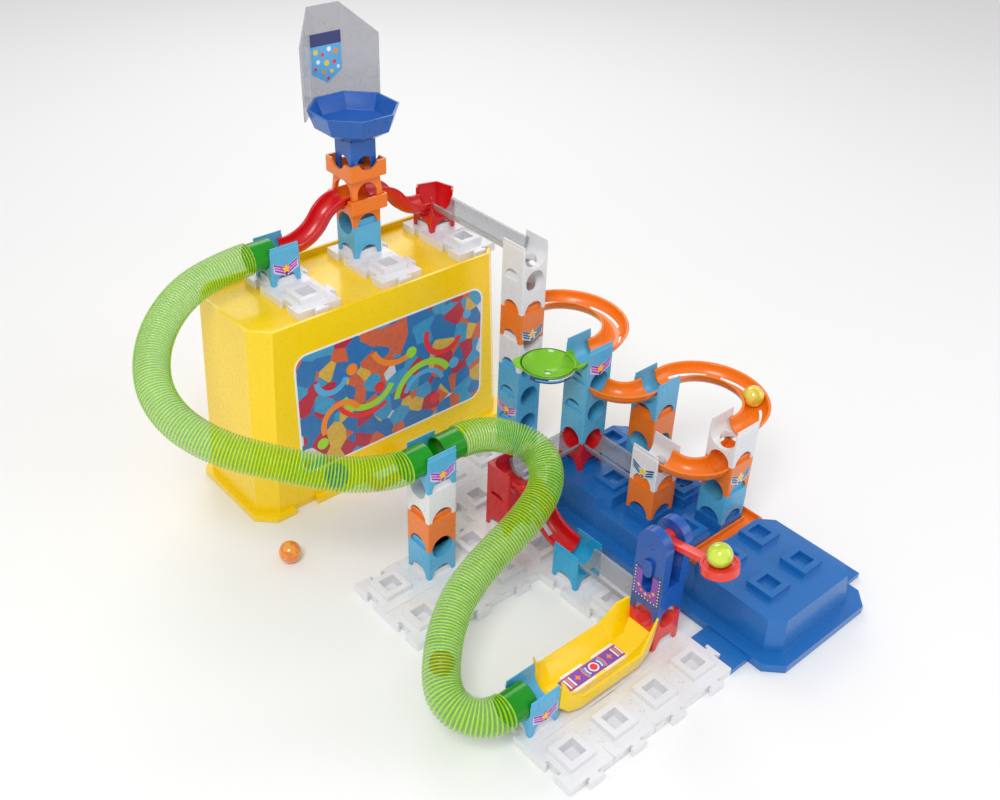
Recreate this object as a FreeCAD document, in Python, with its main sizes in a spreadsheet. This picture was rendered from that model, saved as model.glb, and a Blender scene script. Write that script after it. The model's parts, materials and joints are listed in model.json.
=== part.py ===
import FreeCAD, Part
import math
import os
import re

# Marble run: a grid of plug-together plates, block towers, open tracks, tubes and a
# spring launcher. The origin is on the floor, under the middle of the plate cell in
# the near left corner. X and Y run along the grid and +Z is up.

DOC = FreeCAD.newDocument("MarbleRun")
SHEET = DOC.addObject("Spreadsheet::Sheet", "Sizes")
NODES = []

SIZES = {
    # the building grid
    "pitch": 45.0,            # distance between neighbouring cells
    "level": 32.0,            # height that one block adds to a tower
    "plate": 8.0,             # thickness of a base plate
    "block": 30.0,            # side of a block
    "wall": 2.0,              # wall of a block
    "collar": 5.5,            # height of the spigot that holds the next block
    "slack": 0.15,            # clearance round a spigot
    "corner": 1.2,            # rounding of a block's upright edges
    "marble": 20.0,           # diameter of a marble
    "gate": 10.8,             # radius of an arch or marble hole
    "peg_hole": 15.0,         # square hole in a plate's peg
    "tab": 9.0,               # width of a plate's joining tab at its root
    "tab_reach": 5.0,         # how far a tab stands out
    "tab_slack": 0.2,         # clearance round a tab
    # connectors and open tracks
    "channel": 13.5,          # radius of a connector's channel
    "channel_axis": 27.0,     # height of the channel's axis above the legs
    "track_out": 12.9,        # outer radius of a track's trough
    "track_in": 11.4,         # inner radius of a track's trough
    "track_set": 2.2,         # how far a track's axis lies under the hole it meets
    "track_seat": 6.0,        # length of a track that lies in a connector
    "track_slot": 5.0,        # width of the slot in a straight track's floor
    "curve_tilt": 2.5,        # slope of a large curve, in degrees
    # tubes
    "tube_out": 30.0,         # outer diameter of a corrugated tube
    "tube_in": 23.6,          # inner diameter of a tube and its collars
    "collar_out": 26.6,       # outer diameter of a tube's end collar
    "collar_long": 22.0,      # length of an end collar
    "collar_seat": 9.0,       # length of it that lies in a connector
    # storage case
    "case_long": 272.0,       # outer length at the top
    "case_deep": 113.0,       # outer depth at the top
    "case_left": -26.0,       # place of the top's left side
    "case_lip": 6.0,          # rim round the case's recessed top
    "case_wall": 3.0,
    "case_draft": 11.0,       # how much wider each end is at the mouth
    "case_chamfer": 16.0,
    "case_flange": 5.0,       # how far the mouth's flange stands out
    "case_flange_high": 7.0,
    "handle_long": 52.0,
    "handle_reach": 22.0,
    "handle_bar": 7.0,
    "handle_pin": 2.0,        # radius of the handle's hinge pins
    # blue base
    "base_half": 52.5,        # half width of the base's raised decks
    "base_near": 35.0,        # how far the front deck reaches before the first peg row
    "base_front": 60.0,       # where the front deck ends
    "base_back": 162.5,       # where the back deck starts
    "base_far": 243.0,        # where the back deck ends
    "base_step": 12.0,        # how far the middle deck lies under the others
    "base_draft": 4.0,
    "base_flange": 15.0,
    "base_chamfer": 11.0,
    "base_wall": 3.0,
    "peg_dimple": 2.0,        # radius of the small hole in a base peg
    # bowl tower on the case
    "ledge": 40.0,            # side of the orange trays
    "ledge_low": 14.5,        # lower tray's underside above its legs
    "ledge_high": 13.5,       # height of the lower tray
    "frame_high": 19.0,       # height of the sloping frame above the lower tray
    "crown_high": 15.0,       # height of the upper tray
    "neck": 27.0,             # side of the bowl's neck
    "neck_high": 33.0,
    "bowl_rim": 42.0,         # rim radius to the corners
    "bowl_foot": 36.0,        # radius where the bowl's sides end
    "bowl_side": 17.0,        # height of the bowl's sides
    "bowl_cone": 10.0,        # height of the bowl's sloping floor
    "bowl_wall": 2.2,
    "board_high": 90.0,       # backboard
    "board_drop": 23.0,       # how far its outer corners lie under its top
    "board_thick": 1.8,
    "board_overlap": 11.0,    # how far it reaches under the bowl's rim
    "funnel_rim": 21.0,       # corner radius of the hexagonal funnel
    # swirl dish
    "dish_radius": 25.0,
    "dish_deep": 12.0,
    "dish_wall": 1.8,
    "dish_west": 42.0,        # dish centre from its tower, against X
    "dish_north": 9.0,        # dish centre from its tower, along Y
    "dish_drain": 3.0,
    # catch tray
    "tray_half": 23.5,
    "tray_wall": 2.0,
    "tray_high": 15.0,
    "tray_ear": 42.0,
    # launcher
    "cheek": 8.6,             # thickness of a launcher cheek
    "pivot_up": 72.6,         # height of the arm's pivot above the launcher's legs
    "skirt": 34.0,            # height of the launcher's lower body
    "axle": 2.5,              # radius of the arm's axle
    "axle_slack": 0.05,
    "hub": 6.5,               # radius of the arm's hub
    "arm_long": 54.0,         # pivot to the middle of the cup
    "arm_rise": 10.5,         # resting angle of the arm above level, in degrees
    "arm_wide": 8.0,
    "arm_thick": 5.0,
    "cup_radius": 15.0,
    "cup_high": 7.0,
    "cup_sink": 3.5,          # how far a marble sits below the cup's rim
    "gap": 0.3,               # clearance between moving pieces
    "slot_wide": 10.0,
    "slot_low": 26.0,         # lower end of the slot above the launcher's legs
    "slot_high": 34.0,
    "slider_high": 17.0,
    "slider_out": 2.6,
    # gutter beside the front deck
    "gutter_wide": 13.0,
    "gutter_high": 7.0,
    "gutter_wall": 1.8,
}


def fill_sheet():
    """Write every size into the sheet as a plain number with an alias."""
    for row, (alias, value) in enumerate(SIZES.items(), start=1):
        SHEET.set("A%d" % row, alias)
        SHEET.set("B%d" % row, str(value))
        SHEET.setAlias("B%d" % row, alias)
    DOC.recompute()


def size(alias):
    return float(SHEET.get(alias))


def bound(text):
    """Turn a formula in plain aliases into one that reads the sheet."""
    def swap(match):
        word = match.group()
        return "Sizes." + word if word in SIZES else word
    return re.sub(r"[a-z][a-z_]*", swap, text)


def bind(obj, prop, formula):
    obj.setExpression(prop, bound(formula))


def put(obj, x="0", y="0", z="0", turn=None):
    """Place an object by formulas, after an optional fixed turn."""
    if turn is not None:
        obj.Placement = FreeCAD.Placement(FreeCAD.Vector(), turn)
    for letter, formula in zip("xyz", (x, y, z)):
        if formula != "0":
            bind(obj, "Placement.Base." + letter, formula)
    return obj


def spin(axis, degrees):
    return FreeCAD.Rotation(FreeCAD.Vector(*axis), degrees)


ALONG = {"x": spin((0, 1, 0), 90), "y": spin((1, 0, 0), -90), "z": None}


def box(name, wide, deep, high, x="0", y="0", z="0", turn=None):
    solid = DOC.addObject("Part::Box", name)
    bind(solid, "Length", wide)
    bind(solid, "Width", deep)
    bind(solid, "Height", high)
    return put(solid, x, y, z, turn)


def middle_box(name, wide, deep, high, x="0", y="0", z="0"):
    """A box whose middle in X and Y is at the place given."""
    return box(name, wide, deep, high, "%s-(%s)/2" % (x, wide), "%s-(%s)/2" % (y, deep), z)


def rod(name, radius, long, axis="z", x="0", y="0", z="0"):
    solid = DOC.addObject("Part::Cylinder", name)
    bind(solid, "Radius", radius)
    bind(solid, "Height", long)
    return put(solid, x, y, z, ALONG[axis])


def ball(name, radius, x="0", y="0", z="0"):
    solid = DOC.addObject("Part::Sphere", name)
    bind(solid, "Radius", radius)
    return put(solid, x, y, z)


def prism(name, sides, radius, high, z="0", turn=0.0, x="0", y="0"):
    solid = DOC.addObject("Part::Prism", name)
    solid.Polygon = sides
    bind(solid, "Circumradius", radius)
    bind(solid, "Height", high)
    return put(solid, x, y, z, spin((0, 0, 1), turn))


def polygon(name, sides, radius, z="0", turn=0.0):
    wire = DOC.addObject("Part::RegularPolygon", name)
    wire.Polygon = sides
    bind(wire, "Circumradius", radius)
    return put(wire, "0", "0", z, spin((0, 0, 1), turn))


def loft(name, wires):
    solid = DOC.addObject("Part::Loft", name)
    solid.Sections = wires
    solid.Solid = True
    solid.Ruled = True
    return solid


def wedge(name, foot, top, low, high):
    """A block with sloping sides. Foot and top are (x low, x high, y low, y high)."""
    solid = DOC.addObject("Part::Wedge", name)
    names = ("Xmin", "Xmax", "Zmin", "Zmax")
    for prop, formula in zip(names, foot):
        bind(solid, prop, formula)
    for prop, formula in zip(("X2min", "X2max", "Z2min", "Z2max"), top):
        bind(solid, prop, formula)
    bind(solid, "Ymin", "0")
    bind(solid, "Ymax", "(%s)-(%s)" % (high, low))
    # the wedge grows along its own Y, so it is stood up, which turns its Z to -Y
    return put(solid, "0", "0", low, spin((1, 0, 0), 90))


def fuse(name, *parts):
    joined = DOC.addObject("Part::MultiFuse", name)
    joined.Shapes = list(parts)
    return joined


def cut(name, base, *tools):
    result = DOC.addObject("Part::Cut", name)
    result.Base = base
    result.Tool = tools[0] if len(tools) == 1 else fuse(name + "_tools", *tools)
    return result


def common(name, *parts):
    result = DOC.addObject("Part::MultiCommon", name)
    result.Shapes = list(parts)
    return result


def upright_edges(obj):
    """The numbers of the edges that climb from the bottom of a solid to its top."""
    DOC.recompute()
    tall = obj.Shape.BoundBox.ZLength / 2
    return [number for number, edge in enumerate(obj.Shape.Edges, start=1)
            if edge.BoundBox.ZLength > tall]


def round_uprights(name, base, radius):
    rounded = DOC.addObject("Part::Fillet", name)
    rounded.Base = base
    rounded.Edges = [(number, radius, radius) for number in upright_edges(base)]
    return rounded


def chamfer_uprights(name, base, reach):
    bevelled = DOC.addObject("Part::Chamfer", name)
    bevelled.Base = base
    bevelled.Edges = [(number, reach, reach) for number in upright_edges(base)]
    return bevelled


def shaped(name, shape):
    """A free-form piece whose shape is worked out from the sheet's values."""
    feature = DOC.addObject("Part::Feature", name)
    feature.Shape = shape
    return feature


def node(label, *pieces):
    """Name a sub-part. Several equal pieces are kept together as one group."""
    if len(pieces) == 1:
        whole = pieces[0]
    else:
        whole = DOC.addObject("Part::Compound", label)
        whole.Links = list(pieces)
    whole.Label = label
    NODES.append(whole)


def level_z(count):
    """Height of the legs of a block with this many blocks under it."""
    return "plate + level*%g" % count


def at_cell(obj, column, row, count, turn=0):
    obj.Placement = FreeCAD.Placement(FreeCAD.Vector(), spin((0, 0, 1), turn))
    return put(obj, "pitch*%g" % column, "pitch*%g" % row, level_z(count))


# ---------------------------------------------------------------- blocks

SIDES = {"east": ("x", "0", "0"), "west": ("x", "-block/2-wall", "0"),
         "north": ("y", "0", "0"), "south": ("y", "0", "-block/2-wall")}
SOCKET = "block - 2*wall"
SPIGOT = "(block - 2*wall - 2*slack)"


def arches(tag):
    """The two arched passages under a block, one along X and one along Y."""
    return [rod(tag + "_arch_x", "gate", "block + 2*wall", "x", "-block/2-wall"),
            rod(tag + "_arch_y", "gate", "block + 2*wall", "y", "0", "-block/2-wall")]


def block_body(tag, high="level"):
    body = middle_box(tag + "_body", "block", "block", high)
    return round_uprights(tag + "_rounded", body, size("corner"))


def block(tag, holes=(), drop=False):
    """A hollow block on four legs, with a spigot on top and marble holes in its sides."""
    spigot = middle_box(tag + "_spigot", SPIGOT, SPIGOT, "collar + wall", z="level - wall")
    solid = fuse(tag + "_solid", block_body(tag), spigot)
    deck = "(gate + wall)" if holes or drop else "wall"
    tools = [middle_box(tag + "_socket", SOCKET, SOCKET, "level - " + deck)] + arches(tag)
    if holes:
        tools.append(ball(tag + "_turn", "gate", z="level"))
    for side in holes:
        axis, x, y = SIDES[side]
        tools.append(rod(tag + "_" + side, "gate", "block/2 + wall", axis, x, y, "level"))
    well = "(block - 4*wall - 2*slack)"
    tools.append(middle_box(tag + "_well", well, well, "collar + wall", z="level"))
    if drop:
        tools.append(rod(tag + "_drop", "gate", "level"))
    return cut(tag, solid, *tools)


def connector(tag, axis="x", drop=False, levels=1):
    """A block whose top is an open channel that takes a track or a tube."""
    lift = "level*%d" % (levels - 1)
    top = lift + " + level + collar"
    tools = arches(tag)
    across = "2*channel"
    long = "(block + 2*wall)"
    if axis == "x":
        tools.append(middle_box(tag + "_mouth", long, across, "level", z=lift + "+channel_axis"))
        start = ("-block/2-wall", "0")
    else:
        tools.append(middle_box(tag + "_mouth", across, long, "level", z=lift + "+channel_axis"))
        start = ("0", "-block/2-wall")
    tools.append(rod(tag + "_channel", "channel", long, axis, *start, lift + "+channel_axis"))
    tools.append(middle_box(tag + "_socket", SOCKET, SOCKET, "channel_axis - channel - wall"))
    if drop:
        tools.append(rod(tag + "_drop", "gate", "level"))
    body = block_body(tag, top)
    step = middle_box(tag + "_step", "block + 2", "block + 2", "4", z=top + "-4")
    kept = middle_box(tag + "_kept", "block - 1.2", "block - 1.2", "4", z=top + "-4")
    tools.append(cut(tag + "_lip", step, kept))
    return cut(tag, body, *tools)


def make_blocks():
    """Every tower, from its cell, its first level and its list of blocks."""
    node("tower_a_blue_block", at_cell(block("a_blue", ["south"]), 1, 5, 0))
    node("tower_a_orange_block", at_cell(block("a_orange"), 1, 5, 1))
    node("tower_a_white_block", at_cell(block("a_white", ["west"]), 1, 5, 2))
    node("tower_a_connector", at_cell(connector("a_connector", "x"), 1, 5, 3))
    node("tower_b_blue_blocks",
         *[at_cell(block("b_blue_%d" % k, ["south"]), 5, 7, k) for k in range(3)])
    node("tower_b_white_blocks", at_cell(block("b_white_low", ["south"]), 5, 7, 3),
         at_cell(block("b_white_high", ["south"], drop=True), 5, 7, 5))
    node("tower_b_orange_block", at_cell(block("b_orange", ["east"]), 5, 7, 4))
    node("tower_b_drop_connector", at_cell(connector("b_connector", "y", drop=True), 5, 7, 6))
    node("tower_c_red_block", at_cell(block("c_red", ["west", "south"]), 5, 5, 1))
    node("tower_c_blue_blocks",
         *[at_cell(block("c_blue_%d" % k, ["south"]), 5, 5, 1 + k) for k in (1, 2)])
    node("tower_c_connector", at_cell(connector("c_connector", "x"), 5, 5, 4))
    node("tower_d_blue_block", at_cell(block("d_blue", ["west", "south"]), 6, 4, 1))
    node("tower_d_orange_block", at_cell(block("d_orange"), 6, 4, 2))
    node("tower_d_connector", at_cell(connector("d_connector", "x"), 6, 4, 3))
    node("tower_e_orange_block", at_cell(block("e_orange", ["north"]), 5, 3, 1))
    node("tower_e_drop_connector", at_cell(connector("e_connector", "y", drop=True), 5, 3, 2))
    node("tower_f_blue_block", at_cell(block("f_blue", ["west"]), 6, 2, 1))
    node("tower_f_orange_block", at_cell(block("f_orange", ["west"]), 6, 2, 2))
    node("tower_f_drop_connector", at_cell(connector("f_connector", "x", drop=True), 6, 2, 3))
    node("finish_connector", at_cell(connector("finish", "x"), 0, 1, 0))
    node("low_connector", at_cell(connector("low", "y"), 3, 3, 0))
    node("launcher_red_block",
         at_cell(block("l_red", ["north", "south", "east", "west"]), 3, 1, 0))
    node("case_connector", at_cell(connector("case_connector", "x"), 1, 10, 6))
    node("bowl_tower_blue_block", at_cell(block("t_blue", ["west"]), 3, 10, 6))


def make_tall_block():
    """The two-level red block: a corner channel from +X round to -Y on its top."""
    body = block_body("tall", "2*level + collar")
    axis_z = "level + channel_axis"
    reach = "block/2 + wall"
    tools = arches("tall") + [
        middle_box("tall_socket", SOCKET, SOCKET, "level*1.2"),
        rod("tall_in", "channel", reach, "x", "0", "0", axis_z),
        rod("tall_out", "channel", reach, "y", "0", "-block/2-wall", axis_z),
        ball("tall_turn", "channel", z=axis_z),
        box("tall_mouth_in", reach, "2*channel", "level", "0", "-channel", axis_z),
        box("tall_mouth_out", "2*channel", reach, "level", "-channel", "-block/2-wall", axis_z),
        rod("tall_well", "channel", "level", "z", z=axis_z)]
    for side, x in (("west", "-block/2-wall"), ("east", "block/2-wall")):
        window = rod("tall_window_" + side, "gate", "2*wall", "x", x, "0", "level")
        above = middle_box("tall_above_" + side, "4*wall", "2*gate", "gate",
                           x + "+wall", "0", "level + collar")
        tools.append(common("tall_slit_" + side, window, above))
    node("tall_red_block", at_cell(cut("tall_red", body, *tools), 3, 5, 0))


# ---------------------------------------------------------------- plates

def tab(tag, slack=""):
    """A joining tab that widens outwards, along +X from the middle of an edge."""
    root = "tab%s" % slack
    neck = middle_box(tag + "_neck", "tab_reach", root, "plate", "tab_reach/2")
    head = middle_box(tag + "_head", "tab_reach*0.6", root + "+5", "plate", "tab_reach*0.7")
    return fuse(tag, neck, head)


def plate(tag, tabs=True, front_tab=True):
    """A base plate of two cells along Y, its first cell at the place given."""
    slab = box(tag + "_slab", "pitch", "2*pitch", "plate", "-pitch/2", "-pitch/2", "0")
    parts = [slab]
    tools = []
    for k in (0, 1):
        row = "pitch*%d" % k
        parts.append(middle_box("%s_peg_%d" % (tag, k), SPIGOT, SPIGOT,
                                "plate + collar", "0", row))
        tools.append(middle_box("%s_peg_hole_%d" % (tag, k), "peg_hole", "peg_hole",
                                "plate + collar", "0", row, "plate*0.4"))
        if tabs:
            parts.append(put(tab("%s_tab_%d" % (tag, k)), "pitch/2", row))
        tools.append(put(tab("%s_notch_%d" % (tag, k), "+2*tab_slack"), "-pitch/2", row))
    if front_tab:
        parts.append(put(tab(tag + "_front_tab"), "0", "-pitch/2", turn=spin((0, 0, 1), -90)))
    tools.append(put(tab(tag + "_back_notch", "+2*tab_slack"), "0", "pitch*1.5",
                     turn=spin((0, 0, 1), -90)))
    # the seam between the two cells is a fine groove
    tools.append(middle_box(tag + "_seam", "pitch", "0.6", "1", "0", "pitch/2", "plate - 0.5"))
    return cut(tag, fuse(tag + "_raised", *parts), *tools)


def make_plates():
    front = [at_cell(plate("front_%d" % i), i, 0, 0) for i in range(4)]
    for piece in front:
        lower_to(piece, "0")
    side = lower_to(at_cell(plate("cross"), 3, 2, 0), "0")
    node("front_floor_plates", *front)
    node("cross_floor_plate", side)
    node("left_floor_plates",
         *[lower_to(at_cell(plate("left_%d" % i), i, 4, 0), "0") for i in range(4)])
    node("rear_floor_plates",
         *[lower_to(at_cell(plate("rear_%d" % i, i < 5, i < 4), i, 6, 0), "0")
           for i in (3, 4, 5)])
    node("case_top_plates",
         *[lower_to(at_cell(plate("top_%d" % i), i, 9, 0), "level*6") for i in (1, 3, 5)])


def lower_to(obj, z):
    bind(obj, "Placement.Base.z", z)
    return obj


# ---------------------------------------------------------------- tracks

def straight_track(tag, long, axis="y"):
    """A half-pipe along +Y or +X from the place given, with a slot in its floor."""
    outer = rod(tag + "_outer", "track_out", long, axis)
    inner = rod(tag + "_inner", "track_in", long, axis)
    room = "(2*track_out)"
    sizes = (room, long) if axis == "y" else (long, room)
    shift = ("-track_out", "0") if axis == "y" else ("0", "-track_out")
    top = box(tag + "_top", *sizes, "track_out", *shift)
    slot_long = "(%s)*0.5" % long
    start = "(%s)*0.25" % long
    if axis == "y":
        slot = box(tag + "_slot", "track_slot", slot_long, "track_out", "-track_slot/2", start,
                   "-track_out")
    else:
        slot = box(tag + "_slot", slot_long, "track_slot", "track_out", start, "-track_slot/2",
                   "-track_out")
    return cut(tag, outer, inner, top, slot)


def curved_track(tag, radius, degrees, start):
    """A half-pipe bend about the place given, from a start angle, with a stub at one end."""
    rings = []
    for part, tube in (("outer", "track_out"), ("inner", "track_in")):
        ring = DOC.addObject("Part::Torus", "%s_%s" % (tag, part))
        bind(ring, "Radius1", radius)
        bind(ring, "Radius2", tube)
        ring.Angle3 = degrees
        ring.Placement = FreeCAD.Placement(FreeCAD.Vector(), spin((0, 0, 1), start))
        rings.append(ring)
    room = "(2*(%s) + 4*track_out)" % radius
    return cut(tag, rings[0], rings[1], middle_box(tag + "_top", room, room, "track_out"))


def u_profile(centre, forward, up):
    """The closed outline of a track's half-pipe wall, square to its run."""
    across = forward.cross(up)
    out, inside = size("track_out"), size("track_in")

    def point(radius, side, down):
        return centre + across * (radius * side) - up * (radius * down)
    arcs = [Part.Arc(point(out, -1, 0), point(out, 0, 1), point(out, 1, 0)).toShape(),
            Part.LineSegment(point(out, 1, 0), point(inside, 1, 0)).toShape(),
            Part.Arc(point(inside, 1, 0), point(inside, 0, 1), point(inside, -1, 0)).toShape(),
            Part.LineSegment(point(inside, -1, 0), point(out, -1, 0)).toShape()]
    return Part.Wire(arcs)


def slide_shape():
    """An S-shaped slide that runs along +X and comes down by one level, plus a seat."""
    run = 2 * size("pitch") - size("block")
    drop = size("level")
    half_turn = 2 * math.atan(drop / run)
    bend = run / (2 * math.sin(half_turn))
    seat = size("track_seat")

    def on_arc(centre_x, centre_z, angle):
        return FreeCAD.Vector(centre_x + bend * math.cos(angle), 0,
                              centre_z + bend * math.sin(angle))
    top = math.pi / 2
    crest = [on_arc(0, drop - bend, top - half_turn * k / 2) for k in (0, 1, 2)]
    dip = [on_arc(run, bend, -top - half_turn * k / 2) for k in (2, 1, 0)]
    path = Part.Wire([Part.Arc(*crest).toShape(), Part.Arc(*dip).toShape(),
                      Part.LineSegment(dip[2], dip[2] + FreeCAD.Vector(seat, 0, 0)).toShape()])
    outline = u_profile(crest[0], FreeCAD.Vector(1, 0, 0), FreeCAD.Vector(0, 0, 1))
    slide = path.makePipeShell([outline], True, False)
    slot_wide = size("track_slot")
    slot = Part.makeBox(run * 0.42, slot_wide, drop * 2,
                        FreeCAD.Vector(run * 0.3, -slot_wide / 2, -drop))
    return slide.cut(slot)


def place_shape(obj, x, y, z, turn=0):
    obj.Placement = FreeCAD.Placement(FreeCAD.Vector(), spin((0, 0, 1), turn))
    return put(obj, x, y, z)


def track_z(count):
    return "plate + level*%g - track_set" % count


def make_tracks():
    run = "(2*pitch - block)"
    to_red = straight_track("track_e_c", run)
    place_shape(to_red, "pitch*5", "pitch*3 + block/2", track_z(2))
    to_tall = straight_track("track_c_tall", run + " + track_seat", "x")
    place_shape(to_tall, "pitch*3 + block/2 - track_seat", "pitch*5", track_z(2))
    to_launcher = straight_track("track_low_launcher", run + " + track_seat")
    place_shape(to_launcher, "pitch*3", "pitch + block/2", track_z(1))
    node("short_straight_tracks", to_red, to_tall, to_launcher)
    long = straight_track("track_long", "3*pitch - block + 1.25*track_seat")
    place_shape(long, "pitch*5", "pitch*7 + block/2 - track_seat", track_z(7))
    node("long_straight_track", long)
    slides = []
    for name, x, y, count, turn in (
            ("slide_low", "pitch*3", "pitch*5 - block/2", 1, -90),
            ("slide_west", "pitch*3 - block/2", "pitch*10", 7, 180),
            ("slide_east", "pitch*3 + block/2", "pitch*10", 7, 0)):
        slide = shaped(name, slide_shape())
        slides.append(place_shape(slide, x, y, track_z(count), turn))
    node("red_slides", *slides)
    node("large_curves", large_curve("curve_b_c", 5, 6, 5), large_curve("curve_d_f", 6, 3, 4))
    node("small_curves", small_curve("curve_c_d", 6, 5, 4, "x"),
         small_curve("curve_f_e", 6, 3, 3, "y"))


def large_curve(tag, column, row, count):
    """A half circle that leaves a tower on its +X side and comes back one tower nearer."""
    bend = curved_track(tag + "_bend", "pitch", 180, -90)
    stub = straight_track(tag + "_stub", "track_seat", "x")
    put(stub, "-track_seat", "-pitch")
    parts = [bend, stub]
    if column == 6:
        lead = straight_track(tag + "_lead", "track_seat", "x")
        parts.append(put(lead, "-track_seat", "pitch"))
    whole = fuse(tag, *parts)
    whole.Placement = FreeCAD.Placement(FreeCAD.Vector(), spin((1, 0, 0), size("curve_tilt")))
    drop = "sin(curve_tilt * 1deg) * pitch"
    z = "plate + level*%g - track_set/2 - %s" % (count, drop)
    return put(whole, "pitch*%g + block/2" % column, "pitch*%g" % row, z)


def small_curve(tag, column, row, count, seat_axis):
    """A quarter circle from a hole in one tower's side to the next tower's channel."""
    radius = "(pitch - block/2)"
    bend = curved_track(tag + "_bend", radius, 90, 180)
    if seat_axis == "x":
        stub = straight_track(tag + "_stub", "track_seat", "x")
        put(stub, "0", "-" + radius)
    else:
        stub = straight_track(tag + "_stub", "track_seat", "y")
        put(stub, "-" + radius, "0")
    whole = fuse(tag, bend, stub)
    return put(whole, "pitch*%g - block/2" % column, "pitch*%g - block/2" % row, track_z(count))


# ---------------------------------------------------------------- tubes

UPPER_ROUTE = [(30, 450, 0), (0, 450, 0), (-48, 445, -6), (-92, 418, -20), (-119, 378, -37),
               (-122, 338, -52), (-103, 300, -66), (-68, 268, -78), (-30, 240, -91),
               (8, 225, -96), (30, 225, -96)]
LOWER_ROUTE = [(60, 225, 0), (88, 225, 0), (122, 222, -13), (141, 194, -22), (124, 164, -32),
               (86, 150, -43), (44, 146, -55), (4, 137, -66), (-30, 115, -76), (-57, 85, -87),
               (-57, 62, -93), (-40, 45, -96), (-15, 45, -96)]


def route_points(route, base_z):
    """A tube's route, in millimetres, from its heights below its first end."""
    return [FreeCAD.Vector(x, y, base_z + z) for x, y, z in route]


def smooth_path(points):
    """Straight runs joined by tangent arcs, each as large as its two runs allow."""
    edges = []
    start = points[0]
    last_corner = len(points) - 2
    for number, (before, corner, after) in enumerate(zip(points, points[1:], points[2:]), start=1):
        inward = (corner - before)
        outward = (after - corner)
        turn = inward.getAngle(outward)
        before_share = 0.9 if number == 1 else 0.45
        after_share = 0.9 if number == last_corner else 0.45
        reach = min(before_share * inward.Length, after_share * outward.Length)
        inward.normalize()
        outward.normalize()
        first = corner - inward * reach
        last = corner + outward * reach
        radius = reach / math.tan(turn / 2)
        bisector = (outward - inward).normalize()
        centre = corner + bisector * (radius / math.cos(turn / 2))
        middle = centre - bisector * radius
        edges.append(Part.LineSegment(start, first).toShape())
        edges.append(Part.Arc(first, middle, last).toShape())
        print("bend radius %.0f mm" % radius)
        start = last
    edges.append(Part.LineSegment(start, points[-1]).toShape())
    return Part.Wire(edges)


def tube_shape(path):
    """A hollow tube along a path."""
    start = path.Edges[0].Vertexes[0].Point
    heading = path.Edges[0].tangentAt(path.Edges[0].FirstParameter)

    def swept(diameter):
        ring = Part.Wire([Part.makeCircle(diameter / 2, start, heading)])
        return path.makePipeShell([ring], True, False)
    outer = swept(size("tube_out"))
    expected = math.pi * (size("tube_out") / 2) ** 2 * path.Length
    print("tube volume over section times length: %.4f" % (outer.Volume / expected))
    return outer.cut(swept(size("tube_in")))


def marble_in_tube(name, path, near):
    """A marble on a tube's floor, at the place of the path that is nearest in plan."""
    spots = path.discretize(Number=400)
    spot = min(spots, key=lambda p: math.hypot(p.x - near[0], p.y - near[1]))
    sink = (size("tube_in") - size("marble")) / 2 - size("gap") / 2
    shape = Part.makeSphere(size("marble") / 2)
    shape.translate(spot - FreeCAD.Vector(0, 0, sink))
    node(name, shaped(name + "_shape", shape))


def tube_collar(tag, x, y, z, towards):
    """A smooth collar along X, with one end in a connector's channel."""
    sleeve = cut(tag, rod(tag + "_outer", "collar_out/2", "collar_long", "x"),
                 rod(tag + "_inner", "tube_in/2", "collar_long", "x"))
    shift = "-collar_seat" if towards > 0 else "collar_seat - collar_long"
    return put(sleeve, "%s + %s" % (x, shift), y, z)


def tube_z(count):
    return "plate + level*%g + channel_axis" % count


def axis_height(count):
    """The same height as a number, for the free-form tubes."""
    return size("plate") + size("level") * count + size("channel_axis")


def make_tubes():
    shoulder = size("collar_long") - size("collar_seat")
    upper = list(UPPER_ROUTE)
    upper[0] = (upper[0][0] - shoulder, *upper[0][1:])
    upper[-1] = (upper[-1][0] - shoulder, *upper[-1][1:])
    lower = list(LOWER_ROUTE)
    lower[0] = (lower[0][0] + shoulder, *lower[0][1:])
    lower[-1] = (lower[-1][0] - shoulder, *lower[-1][1:])
    for name, route, count, near in (("upper", upper, 6, (-34, 246)), ("lower", lower, 3, (-41, 100))):
        path = smooth_path(route_points(route, axis_height(count)))
        print("%s tube: %.0f mm long" % (name, path.Length))
        node(name + "_tube", shaped(name + "_tube_shape", tube_shape(path)))
        marble_in_tube(name + "_tube_marble", path, near)
    node("tube_collars",
         tube_collar("collar_case", "pitch - block/2", "pitch*10", tube_z(6), -1),
         tube_collar("collar_a_in", "pitch - block/2", "pitch*5", tube_z(3), -1),
         tube_collar("collar_a_out", "pitch + block/2", "pitch*5", tube_z(3), 1),
         tube_collar("collar_finish", "-block/2", "pitch", tube_z(0), -1))


# ---------------------------------------------------------------- storage case

def case_block(tag, inset, low, high):
    """The case's drafted body, smaller by an inset all round, with bevelled corners."""
    left = "case_left + (%s)" % inset
    right = "case_left + case_long - (%s)" % inset
    front = "pitch*9.5 - case_deep/2 + (%s)" % inset
    back = "pitch*9.5 + case_deep/2 - (%s)" % inset
    foot = ("%s - case_draft" % left, "%s + case_draft" % right,
            "-(%s)" % back, "-(%s)" % front)
    top = (left, right, "-(%s)" % back, "-(%s)" % front)
    body = wedge(tag + "_wedge", foot, top, low, high)
    reach = size("case_chamfer") - (0 if inset == "0" else 0.4 * size("case_wall"))
    return chamfer_uprights(tag, body, reach)


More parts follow.
